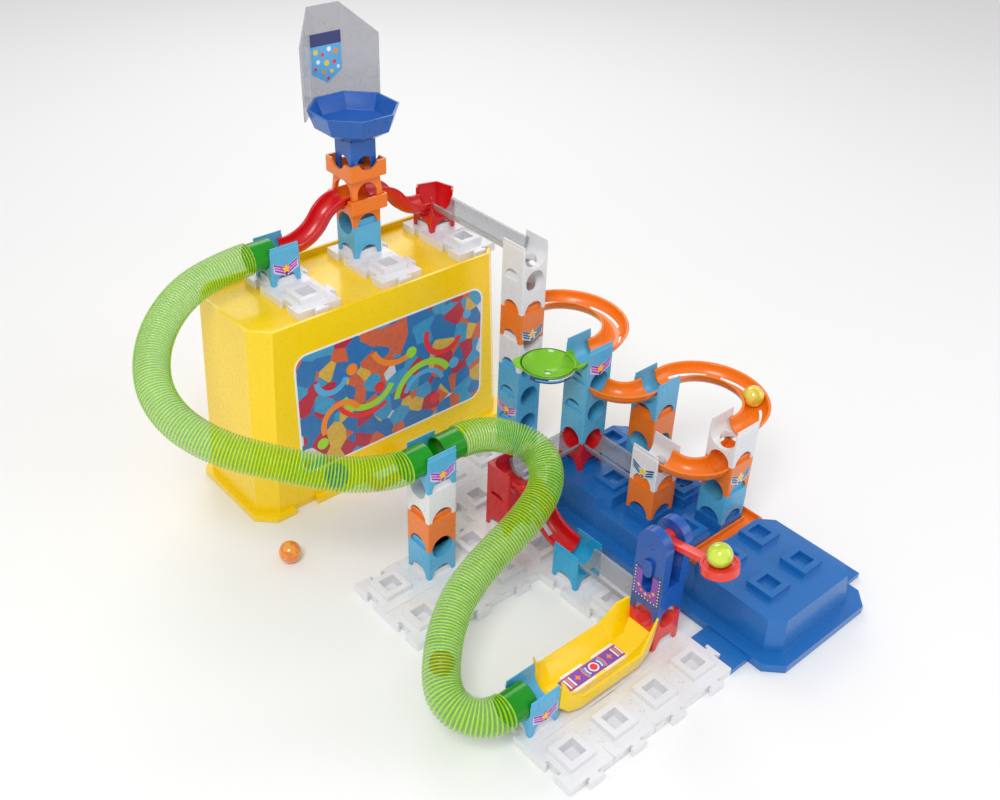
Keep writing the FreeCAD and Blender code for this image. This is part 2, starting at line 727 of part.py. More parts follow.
def make_case():
    top = "level*6"
    outer = case_block("case_outer", "0", "0", top + " + case_lip")
    inner = case_block("case_inner", "case_wall", "0", top + " - case_wall")
    recess = chamfer_uprights(
        "case_recess", middle_box("case_recess_body", "case_long - 2*case_wall",
                                  "case_deep - 2*case_wall", "2*case_lip",
                                  "case_left + case_long/2", "pitch*9.5", top),
        size("case_chamfer") - 0.6 * size("case_wall"))
    flange_wide = "case_long + 2*case_draft + 2*case_flange"
    ring = middle_box("case_ring", flange_wide, "case_deep + 2*case_flange", "case_flange_high",
                      "case_left + case_long/2", "pitch*9.5")
    flange = chamfer_uprights("case_flange_body", ring, size("case_chamfer"))
    shell = fuse("case_shell", outer, flange)
    front = "(pitch*9.5 - case_deep/2)"
    notches = [middle_box("case_notch_%d" % k, "24", "14", "case_flange_high",
                          "case_left + case_long*%g" % share, front + " - case_flange")
               for k, share in enumerate((0.12, 0.88))]
    middle = "(case_left + case_long*0.455)"
    bay = middle_box("case_bay", "handle_long + 2*gap", "2*case_flange", "handle_bar + 4",
                     middle, front + " - case_flange")
    plate_notch = middle_box("case_plate_notch", "2*pitch", "2*pitch + 2*gap", "2*case_lip",
                             "pitch*6", "pitch*9.5", top)
    tub = cut("case_tub_body", shell, inner, recess, bay, plate_notch, *notches)
    ears = []
    for tag, side in (("left", "-"), ("right", "+")):
        ears.append(rod("ear_pin_" + tag, "handle_pin", "8", "x",
                        "%s %s handle_long/2 - 4" % (middle, side),
                        front + " - handle_bar/2 - gap", "handle_bar/2 + gap"))
    node("case_tub", fuse("case_tub_whole", tub, *ears))
    make_handle(middle, front)


def make_handle(middle, front):
    """A U-shaped carry handle that swings on pins at the case's mouth."""
    pivot_y = front + " - handle_bar/2 - gap"
    bar = "handle_bar"
    outer = middle_box("handle_outer", "handle_long", "handle_reach", bar,
                       middle, "%s - handle_reach/2" % pivot_y, "gap")
    hub = rod("handle_hub", bar + "/2", "handle_long", "x", "%s - handle_long/2" % middle,
              pivot_y, "handle_bar/2 + gap")
    window = middle_box("handle_window", "handle_long - 2*handle_bar", "handle_reach",
                        "3*handle_bar", middle,
                        "%s - handle_reach/2 + handle_bar" % pivot_y, "-handle_bar")
    bore = rod("handle_bore", "handle_pin + axle_slack", "handle_long + 2", "x",
               "%s - handle_long/2 - 1" % middle, pivot_y, "handle_bar/2 + gap")
    node("case_handle", cut("case_handle_body", fuse("handle_blank", outer, hub), window, bore))


# ---------------------------------------------------------------- blue base

def base_deck(tag, near, far, top, shrink="0"):
    """A drafted deck between two places along Y, from the floor up."""
    middle = "pitch*5.5"
    half = "(base_half - (%s))" % shrink
    foot_half = "(base_half + base_draft - (%s))" % shrink
    near = "(%s + (%s))" % (near, shrink)
    far = "(%s - (%s))" % (far, shrink)
    foot = ("%s - %s" % (middle, foot_half), "%s + %s" % (middle, foot_half),
            "-(%s + base_draft)" % far, "-(%s - base_draft)" % near)
    crown = ("%s - %s" % (middle, half), "%s + %s" % (middle, half), "-" + far, "-" + near)
    body = wedge(tag + "_wedge", foot, crown, "0", top)
    return chamfer_uprights(tag, body, size("base_chamfer"))


def base_peg(tag, column, row, low):
    """A square plinth with a peg on it, and a dimple in the peg's hollow."""
    x, y = "pitch*%g" % column, "pitch*%g" % row
    plinth = middle_box(tag + "_plinth", "block", "block", "plate + level - (%s)" % low, x, y, low)
    peg = middle_box(tag + "_peg", SPIGOT, SPIGOT, "collar", x, y, "plate + level")
    hollow = middle_box(tag + "_hollow", "peg_hole", "peg_hole", "collar", x, y, "plate + level")
    dimple = rod(tag + "_dimple", "peg_dimple", "1.5", "z", x, y, "plate + level - 1.5")
    return cut(tag, fuse(tag + "_blank", plinth, peg), hollow, dimple)


def base_ear(tag, side, row):
    """A flat ear on the base's side that joins it to a floor plate's tab."""
    return middle_box(tag, "pitch*2 - base_half - base_draft", "pitch", "plate - 3",
                      "pitch*5.5 %s (pitch*2 + base_half + base_draft)/2" % side, "pitch*%g" % row)


def make_base():
    top = "plate + level"
    middle_top = "plate + level - base_step"
    decks = [base_deck("base_front_deck", "-base_near", "base_front", top),
             base_deck("base_back_deck", "base_back", "base_far", top),
             base_deck("base_low_deck", "base_front - 20", "base_back + 20", middle_top)]
    flange = middle_box("base_rim", "2*(base_half + base_flange)",
                        "base_near + base_far + 2*base_flange", "plate", "pitch*5.5",
                        "(base_far - base_near)/2")
    parts = decks + [chamfer_uprights("base_flange_body", flange, size("base_chamfer") + 3)]
    for number, (side, row) in enumerate((("-", 0), ("+", 0), ("+", 5))):
        parts.append(base_ear("base_ear_%d" % number, side, row))
    for column in (5, 6):
        for row in range(6):
            low = middle_top if row in (2, 3) else top
            low = "(%s) - wall" % low
            parts.append(base_peg("base_peg_%d_%d" % (column, row), column, row, low))
    wall = "base_wall"
    inner = [base_deck("base_room_front", "-base_near", "base_front", top + " - base_wall", wall),
             base_deck("base_room_back", "base_back", "base_far", top + " - base_wall", wall),
             base_deck("base_room_low", "base_front - 24", "base_back + 24",
                       middle_top + " - base_wall", wall)]
    notch = put(tab("base_notch", "+2*tab_slack"), "pitch*3.5", "0")
    plate_room = box("base_plate_room", "3*pitch + tab_slack", "2*pitch", "2*plate",
                     "pitch*2.5", "pitch*5.5 - tab_slack", "-plate/2")
    node("blue_base", cut("blue_base_body", fuse("base_solid", *parts), notch, plate_room, *inner))
    make_gutter(middle_top)


def make_gutter(floor):
    """An open L-shaped gutter on the middle deck, in front of and beside tower F."""
    y = "pitch*2 - block/2 - gap - gutter_wide/2"
    side_x = "pitch*6 + block/2 + gap + gutter_wide/2"
    run = "(2*pitch)"
    x = "pitch*6 + block/2 + gap + gutter_wide - pitch"
    outer = fuse("gutter_outer", middle_box("gutter_run", run, "gutter_wide", "gutter_high", x, y, floor),
                 middle_box("gutter_leg", "gutter_wide", "pitch", "gutter_high", side_x,
                            y + " + pitch/2 - gutter_wide/2", floor))
    inside = "(gutter_wide - 2*gutter_wall)"
    z = floor + " + gutter_wall"
    hollow = fuse("gutter_hollow",
                  middle_box("gutter_run_in", run + " - 2*gutter_wall", inside, "gutter_high", x, y, z),
                  middle_box("gutter_leg_in", inside, "pitch - 2*gutter_wall", "gutter_high", side_x,
                             y + " + pitch/2 - gutter_wide/2", z))
    node("orange_gutter", cut("orange_gutter_body", outer, hollow))


# ---------------------------------------------------------------- bowl tower

def square_tray(tag, side, high, z):
    outer = middle_box(tag + "_outer", side, side, high, z=z)
    inner = middle_box(tag + "_inner", "(%s) - 2*wall" % side, "(%s) - 2*wall" % side, high,
                       z="%s + wall" % z)
    rounded = round_uprights(tag + "_rounded", outer, size("corner"))
    return cut(tag, rounded, inner)


def slide_gates(tag, z):
    """Clearance for the two slides that leave along X."""
    return rod(tag + "_gate", "track_out + gap", "2*ledge", "x", "-ledge", "0", z)


def make_bowl_tower():
    gate_z = "level - track_set"
    legs = middle_box("ledge_legs", "block", "block", "ledge_low + wall")
    rounded = round_uprights("ledge_legs_rounded", legs, size("corner"))
    solid = fuse("ledge_solid", rounded, square_tray("ledge_tray", "ledge", "ledge_high", "ledge_low"))
    socket = middle_box("ledge_socket", SOCKET, SOCKET, "ledge_low")
    lower = cut("ledge_block", solid, socket, *arches("ledge"), slide_gates("ledge", gate_z))
    node("bowl_tower_ledge_block", at_cell(lower, 3, 10, 7))

    foot = "ledge_low + wall"
    neck_z = "ledge_low + ledge_high + frame_high"
    frame_foot = "(ledge - 2*wall - 2*slack)"
    half = math.sqrt(0.5)
    outer = loft("frame_outer", [polygon("frame_foot", 4, frame_foot + "*%.6f" % half, foot, 45),
                                 polygon("frame_top", 4, "block*%.6f" % half, neck_z, 45)])
    inner = loft("frame_inner",
                 [polygon("frame_foot_in", 4, "(%s - 2*wall)*%.6f" % (frame_foot, half), foot, 45),
                  polygon("frame_top_in", 4, "(block - 2*wall)*%.6f" % half, neck_z, 45)])
    windows = [rod("frame_window", "gate", "2*ledge", "y", "0", "-ledge", "ledge_low + ledge_high + 3"),
               middle_box("frame_window_low", "2*gate", "2*ledge", "ledge_high", z=foot)]
    crown = square_tray("crown", "ledge", "crown_high", neck_z)
    dips = [rod("crown_dip_x", "gate", "2*ledge", "x", "-ledge", "0", neck_z + " + crown_high + 4"),
            rod("crown_dip_y", "gate", "2*ledge", "y", "0", "-ledge", neck_z + " + crown_high + 4")]
    hole = rod("crown_hole", "gate", "2*level", "z", "0", "0", neck_z + " - wall")
    frame = cut("frame_shell", outer, inner, slide_gates("frame", gate_z), *windows)
    upper = cut("crown_block", fuse("crown_solid", frame, crown), *dips, hole)
    node("bowl_tower_arch_block", at_cell(upper, 3, 10, 7))
    make_bowl(neck_z + " + wall")


def octagon(tag, radius, z):
    return polygon(tag, 8, radius, z, 22.5)


def make_bowl(seat):
    """An eight-sided funnel bowl, its square neck and the clear backboard behind it."""
    neck_top = "neck_high"
    side_low = "neck_high + bowl_cone"
    rim_z = side_low + " + bowl_side"
    outer = fuse("bowl_outer",
                 loft("bowl_cone_body", [octagon("cone_low", "neck*0.7", neck_top),
                                         octagon("cone_high", "bowl_foot", side_low)]),
                 loft("bowl_side_body", [octagon("side_low", "bowl_foot", side_low),
                                         octagon("side_high", "bowl_rim", rim_z)]))
    inner = fuse("bowl_inner",
                 loft("bowl_cone_room", [octagon("cone_low_in", "gate", neck_top + " + bowl_wall"),
                                         octagon("cone_high_in", "bowl_foot - bowl_wall",
                                                 side_low + " + bowl_wall")]),
                 loft("bowl_side_room", [octagon("side_low_in", "bowl_foot - bowl_wall",
                                                 side_low + " + bowl_wall"),
                                         octagon("side_high_in", "bowl_rim - bowl_wall",
                                                 rim_z + " + 0.1")]))
    bowl = cut("bowl_body", outer, inner, rod("bowl_bore", "gate", "3*neck_high"))
    node("funnel_bowl", on_bowl_tower(bowl, seat))
    make_neck(seat)
    make_backboard(seat, rim_z)


def make_neck(seat):
    """The bowl's square neck, with arches low in its four sides."""
    neck = round_uprights("neck_rounded", middle_box("neck_body", "neck", "neck", "neck_high"),
                          size("corner"))
    room = middle_box("neck_room", "neck - 2*wall", "neck - 2*wall", "neck_high - wall")
    window_radius = "neck*0.28"
    tools = [room, rod("neck_bore", "gate", "3*neck_high")]
    for axis, x, y in (("x", "-neck", "0"), ("y", "0", "-neck")):
        tools.append(rod("neck_arch_" + axis, window_radius, "2*neck", axis, x, y, "neck_high*0.3"))
    tools.append(middle_box("neck_low_x", "2*neck", "neck*0.56", "neck_high*0.3"))
    tools.append(middle_box("neck_low_y", "neck*0.56", "2*neck", "neck_high*0.3"))
    node("bowl_neck", on_bowl_tower(cut("neck", neck, *tools), seat))


def make_backboard(seat, rim_z):
    """The clear board that stands behind the bowl and turns marbles into it."""
    flat = math.cos(math.pi / 8)
    inside = "(bowl_rim + gap*2)"
    board_low = rim_z + " - board_overlap"
    ring = cut("board_ring", prism("board_out", 8, inside + " + board_thick/%.6f" % flat,
                                   "board_high", board_low, 22.5),
               prism("board_in", 8, inside, "board_high", board_low, 22.5))
    span = "(bowl_rim*%.6f)" % math.sin(math.pi / 8)
    room = "2*bowl_rim"
    front = box("board_front", "4*bowl_rim", "2*bowl_rim + " + span, "board_high",
                "-2*bowl_rim", "-2*bowl_rim", board_low)
    tools = [front]
    rise = math.degrees(math.atan2(size("board_drop"), size("bowl_rim") * (flat - math.sin(math.pi / 8))))
    for tag, turn in (("right", rise), ("left", -rise)):
        if tag == "right":
            corner = box("board_corner_right", room, "4*bowl_rim", room, span, "-bowl_rim",
                         board_low + " + board_high", spin((0, 1, 0), turn))
        else:
            run = math.cos(math.radians(rise))
            fall = math.sin(math.radians(rise))
            corner = box("board_corner_left", room, "4*bowl_rim", room,
                         "-%s - (%s)*%.6f" % (span, room, run), "-bowl_rim",
                         "%s + board_high - (%s)*%.6f" % (board_low, room, fall),
                         spin((0, 1, 0), turn))
        tools.append(corner)
    node("backboard", on_bowl_tower(cut("board_body", ring, *tools), seat))


def on_bowl_tower(obj, seat):
    return put(obj, "pitch*3", "pitch*10", "plate + level*7 + " + seat)


def make_hex_funnel():
    """A red block that widens to a six-sided rim, open to its slide and its track."""
    body = block_body("hex", "level - collar")
    rim = loft("hex_rim", [polygon("hex_low", 6, "block*0.5", "level*0.5", 45),
                           polygon("hex_high", 6, "funnel_rim", "level", 45)])
    wall_top = prism("hex_top", 6, "funnel_rim", "collar", "level", 45)
    rib = middle_box("hex_rib", "3", "3", "level", "-block/2 + 1.5", "-block/2 + 1.5")
    solid = fuse("hex_solid", body, rim, wall_top, rib)
    room = fuse("hex_room",
                loft("hex_cone", [polygon("hex_low_in", 6, "gate", "channel_axis - channel", 45),
                                  polygon("hex_high_in", 6, "funnel_rim - wall", "level", 45)]),
                prism("hex_top_in", 6, "funnel_rim - wall", "collar + 1", "level", 45))
    tools = [room, middle_box("hex_socket", SOCKET, SOCKET, "channel_axis - channel - wall")]
    axis_z = "channel_axis"
    tools.append(rod("hex_in", "channel", "block", "x", "-block", "0", axis_z))
    tools.append(rod("hex_out", "channel", "block", "y", "0", "-block", axis_z))
    tools.append(ball("hex_turn", "channel", z=axis_z))
    tools.append(box("hex_mouth_in", "block", "2*channel", "level", "-block", "-channel", axis_z))
    tools.append(box("hex_mouth_out", "2*channel", "block", "level", "-channel", "-block", axis_z))
    node("hex_funnel", at_cell(cut("hex_body", solid, *arches("hex"), *tools), 5, 10, 6))


# ---------------------------------------------------------------- swirl dish

def make_dish():
    """A round dish with a small drain and a neck that lies in tower C's channel."""
    x, y = "-dish_west", "dish_north"
    rim = "(channel_axis - 2)"
    radius = "((dish_radius^2 + dish_deep^2)/(2*dish_deep))"
    centre = "%s - dish_deep + %s" % (rim, radius)
    cap = common("dish_cap", rod("dish_outer", "dish_radius", "2*dish_deep", "z", x, y,
                                 rim + " - 2*dish_deep"),
                 ball("dish_sphere", radius, x, y, centre))
    start = "(-dish_west + dish_radius*0.6)"
    long = "(dish_west - block/2 + track_seat - dish_radius*0.6)"
    neck = rod("dish_neck", "track_out", long, "x", start, "0", "channel_axis")
    above = middle_box("dish_above", "3*dish_west", "4*dish_radius", "level", "-dish_west", "0", rim)
    tools = [above, ball("dish_room", radius + " - dish_wall", x, y, centre),
             rod("dish_neck_room", "track_in", long + " + 4", "x", start + " - 3", "0",
                 "channel_axis"),
             rod("dish_drain", "dish_drain", "3*dish_deep", "z", x, y, rim + " - 2*dish_deep")]
    dish = cut("dish_body", fuse("dish_solid", cap, neck), *tools)
    node("swirl_dish", at_cell(dish, 5, 5, 4))


# ---------------------------------------------------------------- catch tray

def tray_section(x, half, floor_z, floor_half, rim_z, wall):
    """A closed outline across the tray: outer floor and walls, then inner ones."""
    points = [(-half, rim_z), (-half + 2, floor_z), (half - 2, floor_z), (half, rim_z),
              (half - wall, rim_z), (floor_half, floor_z + wall), (-floor_half, floor_z + wall),
              (-half + wall, rim_z)]
    wire = [FreeCAD.Vector(x, y, z) for y, z in points]
    return Part.makePolygon(wire + wire[:1])


def make_tray():
    """The yellow catch tray between the last connector and the launcher's block."""
    wall = size("tray_wall")
    half = size("tray_half")
    base = size("plate") + size("collar")
    rim = base + size("tray_high")
    ear = size("plate") + size("tray_ear")
    start = size("block") / 2
    end = 3 * size("pitch") - size("block") / 2
    floor_half = half * 0.4
    gate_half = size("gate") + 3 * wall
    channel_floor = size("plate") + size("channel_axis") - size("channel") - wall
    hole_floor = size("plate") + size("level") - size("gate") - 2 * wall
    stations = [(start, gate_half, channel_floor, gate_half - 2 * wall, ear),
                (start + 7, half - 3, base, floor_half, rim + 6),
                (start + 17, half, base, floor_half, rim),
                (end - 24, half, base, floor_half, rim),
                (end - 10, half - 3, base + 3, floor_half, ear - 6),
                (end, gate_half, hole_floor, gate_half - 2 * wall, ear - 2)]
    sections = [tray_section(x, h, low, inner, high, wall) for x, h, low, inner, high in stations]
    shape = Part.makeLoft(sections, True, True)
    shape.translate(FreeCAD.Vector(0, size("pitch"), 0))
    node("catch_tray", shaped("catch_tray_shape", shape))


# ---------------------------------------------------------------- launcher

def make_launcher():
    """A two-cheeked housing with a swinging arm, a release slider and a spring."""
    half = "block/2"
    tag = "launcher"
    skirt = round_uprights("skirt_rounded", middle_box("skirt_body", "block", "block", "skirt"),
                           size("corner"))
    inner_gap = "(block - 2*cheek)"
    tools = arches(tag) + [middle_box("skirt_socket", SOCKET, SOCKET, "gate + 1")]
    parts = [skirt]
    for name, x in (("near", "-" + half), ("far", half + " - cheek")):
        plate_body = box("cheek_%s_body" % name, "cheek", "block", "pivot_up", x, "-" + half, "0.001")
        crown = rod("cheek_%s_crown" % name, half, "cheek", "x", x, "0", "pivot_up")
        arch = middle_box("cheek_%s_keep" % name, "cheek*3", "2*block", "skirt",
                          x, "0", "-1")
        parts.append(cut("cheek_%s" % name, fuse("cheek_%s_solid" % name, plate_body, crown), arch))
    web = middle_box("housing_web", inner_gap + " + 1", "8", "pivot_up - hub - 6 - skirt + 2", "0",
                     "block/2 - 4", "skirt - 2")
    parts.append(web)
    tools.append(rod("axle_bore", "axle", "2*block", "x", "-block", "0", "pivot_up"))
    slot_mid = "slot_low + slot_wide/2"
    slot_x = "-%s - 1" % half
    tools.append(box("slot_body", "cheek + 2", "slot_wide", "slot_high - slot_wide", slot_x,
                     "-slot_wide/2", slot_mid))
    for end, z in (("low", slot_mid), ("high", "slot_low + slot_high - slot_wide/2")):
        tools.append(rod("slot_" + end, "slot_wide/2", "cheek + 2", "x", slot_x, "0", z))
    housing = cut("launcher_housing_body", fuse("housing_solid", *parts), *tools)
    node("launcher_housing", at_cell(housing, 3, 1, 1))
    node("launcher_axle", rod("axle_body", "axle", "block", "x", "pitch*3 - block/2", "pitch",
                              level_z(1) + " + pivot_up"))
    make_slider()
    make_arm(inner_gap)


def make_slider():
    """The thumb slider that releases the arm, in the near cheek's slot."""
    wide = "(slot_wide - 2*gap)"
    low = "slot_low + slot_high - gap - slider_high + %s/2" % wide
    high = "slot_low + slot_high - gap - %s/2" % wide
    x = "-block/2 - slider_out"
    long = "cheek + slider_out - 2"
    parts = [box("slider_body", long, wide, "slider_high - " + wide, x, "-%s/2" % wide, low)]
    for end, z in (("low", low), ("high", high)):
        parts.append(rod("slider_" + end, wide + "/2", long, "x", x, "0", z))
    node("launcher_slider", at_cell(fuse("launcher_slider_body", *parts), 3, 1, 1))


def arm_frame(obj):
    """Lift a piece drawn along a level arm to the arm's resting angle at its pivot."""
    obj.Placement = FreeCAD.Placement(FreeCAD.Vector(), spin((1, 0, 0), -size("arm_rise")))
    return put(obj, "pitch*3", "pitch", "plate + level + pivot_up")


def make_arm(inner_gap):
    wide = "(%s - 2*gap)" % inner_gap
    hub = rod("arm_hub", "hub", wide, "x", "-%s/2" % wide, "0", "0")
    bar = middle_box("arm_bar", "arm_wide", "arm_long - cup_radius + 4", "arm_thick", "0",
                     "-(arm_long - cup_radius + 4)/2", "-arm_thick/2")
    cup = rod("arm_cup", "cup_radius", "cup_high", "z", "0", "-arm_long", "-arm_thick/2 - 1")
    lip = rod("arm_cup_lip", "cup_radius - 2.5", "1.4", "z", "0", "-arm_long",
              "cup_high - arm_thick/2 - 2.2")
    marble_z = "(cup_high - arm_thick/2 - 1 + marble/2 - cup_sink)"
    seat = ball("arm_cup_seat", "marble/2 + gap", "0", "-arm_long", marble_z)
    bore = rod("arm_bore", "axle + axle_slack", "block", "x", "-block/2")
    arm = cut("arm_body", fuse("arm_solid", hub, bar, cup), seat, lip, bore)
    node("launcher_arm", arm_frame(arm))
    marble = ball("arm_marble", "marble/2")
    reach = size("arm_long")
    lift = (size("cup_high") - size("arm_thick") / 2 - 1 + size("marble") / 2 - size("cup_sink"))
    rise = math.radians(size("arm_rise"))
    y = -reach * math.cos(rise) + lift * math.sin(rise)
    z = reach * math.sin(rise) + lift * math.cos(rise)
    put(marble, "pitch*3", "pitch + %.6f" % y, "plate + level + pivot_up + %.6f" % z)
    node("launcher_marble", marble)


# ---------------------------------------------------------------- marbles

def make_marbles():
    node("curve_marble", put(ball("curve_marble_body", "marble/2"), "pitch*6 + block/2 + 39",
                             "pitch*2 + 22", "plate + level*4 - track_set - 3"))
    node("floor_marble", put(ball("floor_marble_body", "marble/2"), "-44", "316", "marble/2"))


# ---------------------------------------------------------------- build

def check_and_export():
    DOC.recompute()
    broken = [obj.Label for obj in DOC.Objects
              if "Invalid" in obj.State or "Error" in obj.State]
    if broken:
        raise RuntimeError("failed objects: " + ", ".join(broken))
    for obj in NODES:
        shape = obj.Shape
        if shape.isNull() or not shape.isValid() or not shape.Solids:
            raise RuntimeError("bad shape: " + obj.Label)
    os.makedirs("parts", exist_ok=True)
    for obj in NODES:
        obj.Shape.exportStep(os.path.join("parts", obj.Label + ".step"))
        bounds = obj.Shape.BoundBox
        print("%-26s solids %d  volume %9.0f  z %.1f to %.1f"
              % (obj.Label, len(obj.Shape.Solids), obj.Shape.Volume, bounds.ZMin, bounds.ZMax))


fill_sheet()
make_plates()
make_base()
make_case()
make_blocks()
make_tall_block()
make_tracks()
make_tubes()
make_bowl_tower()
make_hex_funnel()
make_dish()
make_tray()
make_launcher()
make_marbles()
check_and_export()
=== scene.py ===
"""Looks of the marble run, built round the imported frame.

Every CAD node is shown through a merged copy with softened edges, or through a more
detailed piece that stands for it. All lengths are in metres, in the frame's own axes.
"""

import json
import logging
import math
from dataclasses import dataclass
from enum import Enum
from typing import Iterable, Optional, Sequence, Union

import bmesh
import bpy
from mathutils import Matrix, Vector

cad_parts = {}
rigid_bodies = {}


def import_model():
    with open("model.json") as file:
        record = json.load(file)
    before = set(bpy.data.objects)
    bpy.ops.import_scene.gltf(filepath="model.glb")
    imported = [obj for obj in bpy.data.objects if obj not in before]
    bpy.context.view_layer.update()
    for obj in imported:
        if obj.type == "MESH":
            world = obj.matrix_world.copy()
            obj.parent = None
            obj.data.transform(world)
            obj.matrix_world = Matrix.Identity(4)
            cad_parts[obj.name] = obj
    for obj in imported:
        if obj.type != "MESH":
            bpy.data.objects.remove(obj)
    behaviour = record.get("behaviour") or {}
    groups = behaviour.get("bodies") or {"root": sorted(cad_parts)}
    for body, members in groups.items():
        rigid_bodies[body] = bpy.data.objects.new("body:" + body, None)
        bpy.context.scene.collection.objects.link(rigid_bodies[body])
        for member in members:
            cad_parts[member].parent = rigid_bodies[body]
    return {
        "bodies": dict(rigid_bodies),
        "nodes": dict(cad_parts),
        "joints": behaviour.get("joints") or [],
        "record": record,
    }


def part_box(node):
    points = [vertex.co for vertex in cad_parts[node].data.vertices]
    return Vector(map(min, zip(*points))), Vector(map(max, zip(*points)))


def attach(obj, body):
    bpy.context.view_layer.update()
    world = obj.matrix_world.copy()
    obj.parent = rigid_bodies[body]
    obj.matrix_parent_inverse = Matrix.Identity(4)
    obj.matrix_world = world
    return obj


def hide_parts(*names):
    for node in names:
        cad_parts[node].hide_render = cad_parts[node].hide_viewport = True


LOG = logging.getLogger("marble_run")

MM = 0.001
PITCH = 45 * MM
LEVEL = 32 * MM
PLATE = 8 * MM
BLOCK = 30 * MM
HALF = BLOCK / 2
TRACK_OUT = 12.9 * MM
TRACK_SET = 2.2 * MM
SEAT = 6 * MM
ROOT = "standing layout"
CREST = "crest"
MERGE_GAP = 2e-6
MIX_FIRST, MIX_SECOND, MIX_RESULT = 6, 7, 2


class Paint(Enum):
    """Base colours of the moulded pieces, linear RGB."""

    WHITE = (0.80, 0.80, 0.825)
    LIGHT_BLUE = (0.095, 0.44, 0.72)
    CYAN = (0.015, 0.38, 0.68)
    ORANGE = (0.88, 0.20, 0.012)
    ORANGE_TRACK = (0.90, 0.21, 0.008)
    RED = (0.66, 0.006, 0.010)
    LAUNCH_RED = (0.80, 0.040, 0.028)
    YELLOW = (1.0, 0.68, 0.0)
    DEEP_BLUE = (0.008, 0.085, 0.40)
    BASE_BLUE = (0.012, 0.15, 0.48)
    BOWL_BLUE = (0.006, 0.115, 0.48)
    NAVY = (0.004, 0.018, 0.10)


class Clear(Enum):
    """Tints of the see-through pieces, linear RGB."""

    LIME = (0.36, 0.78, 0.0)
    LEAF = (0.24, 0.64, 0.01)
    GREEN = (0.008, 0.30, 0.008)
    GREY = (0.36, 0.37, 0.40)
    BOARD = (0.36, 0.36, 0.40)


class Ink(Enum):
    """Printed colours of the stickers, linear RGB."""

    STAR = (0.95, 0.62, 0.02)
    MAGENTA = (0.72, 0.03, 0.38)
    PURPLE = (0.17, 0.04, 0.48)
    NAVY = (0.02, 0.03, 0.16)
    PAPER = (0.85, 0.87, 0.92)
    SKY = (0.10, 0.42, 0.75)
    PALE = (0.42, 0.72, 0.86)
    PINK = (0.78, 0.58, 0.84)
    RED = (0.80, 0.03, 0.03)
    WHITE = (0.88, 0.88, 0.90)
    LIME = (0.35, 0.70, 0.03)
    ORANGE = (0.90, 0.26, 0.02)
    VIOLET = (0.22, 0.05, 0.45)


# ------------------------------------------------------------------ material graphs


class Socket:
    """A node output that arithmetic operators extend with Math nodes."""

    def __init__(self, graph: "Graph", output: bpy.types.NodeSocket) -> None:
        """Wrap one output of a graph's node."""
        self.graph = graph
        self.output = output

    def _math(self, operation: str, first: "Value", second: "Value") -> "Socket":
        """The result of a Math node on two values or links."""
        return self.graph.node("ShaderNodeMath", {"operation": operation}, {0: first, 1: second})

    def __add__(self, other: "Value") -> "Socket":
        """This output plus a value."""
        return self._math("ADD", self, other)

    def __radd__(self, other: "Value") -> "Socket":
        """A value plus this output."""
        return self._math("ADD", other, self)

    def __sub__(self, other: "Value") -> "Socket":
        """This output less a value."""
        return self._math("SUBTRACT", self, other)

    def __rsub__(self, other: "Value") -> "Socket":
        """A value less this output."""
        return self._math("SUBTRACT", other, self)

    def __mul__(self, other: "Value") -> "Socket":
        """This output times a value."""
        return self._math("MULTIPLY", self, other)

    def __rmul__(self, other: "Value") -> "Socket":
        """A value times this output."""
        return self._math("MULTIPLY", other, self)

    def __pow__(self, other: "Value") -> "Socket":
        """This output to the power of a value."""
        return self._math("POWER", self, other)

    def __rpow__(self, other: "Value") -> "Socket":
        """A value to the power of this output."""
        return self._math("POWER", other, self)


Value = Union[Socket, float, Sequence[float]]


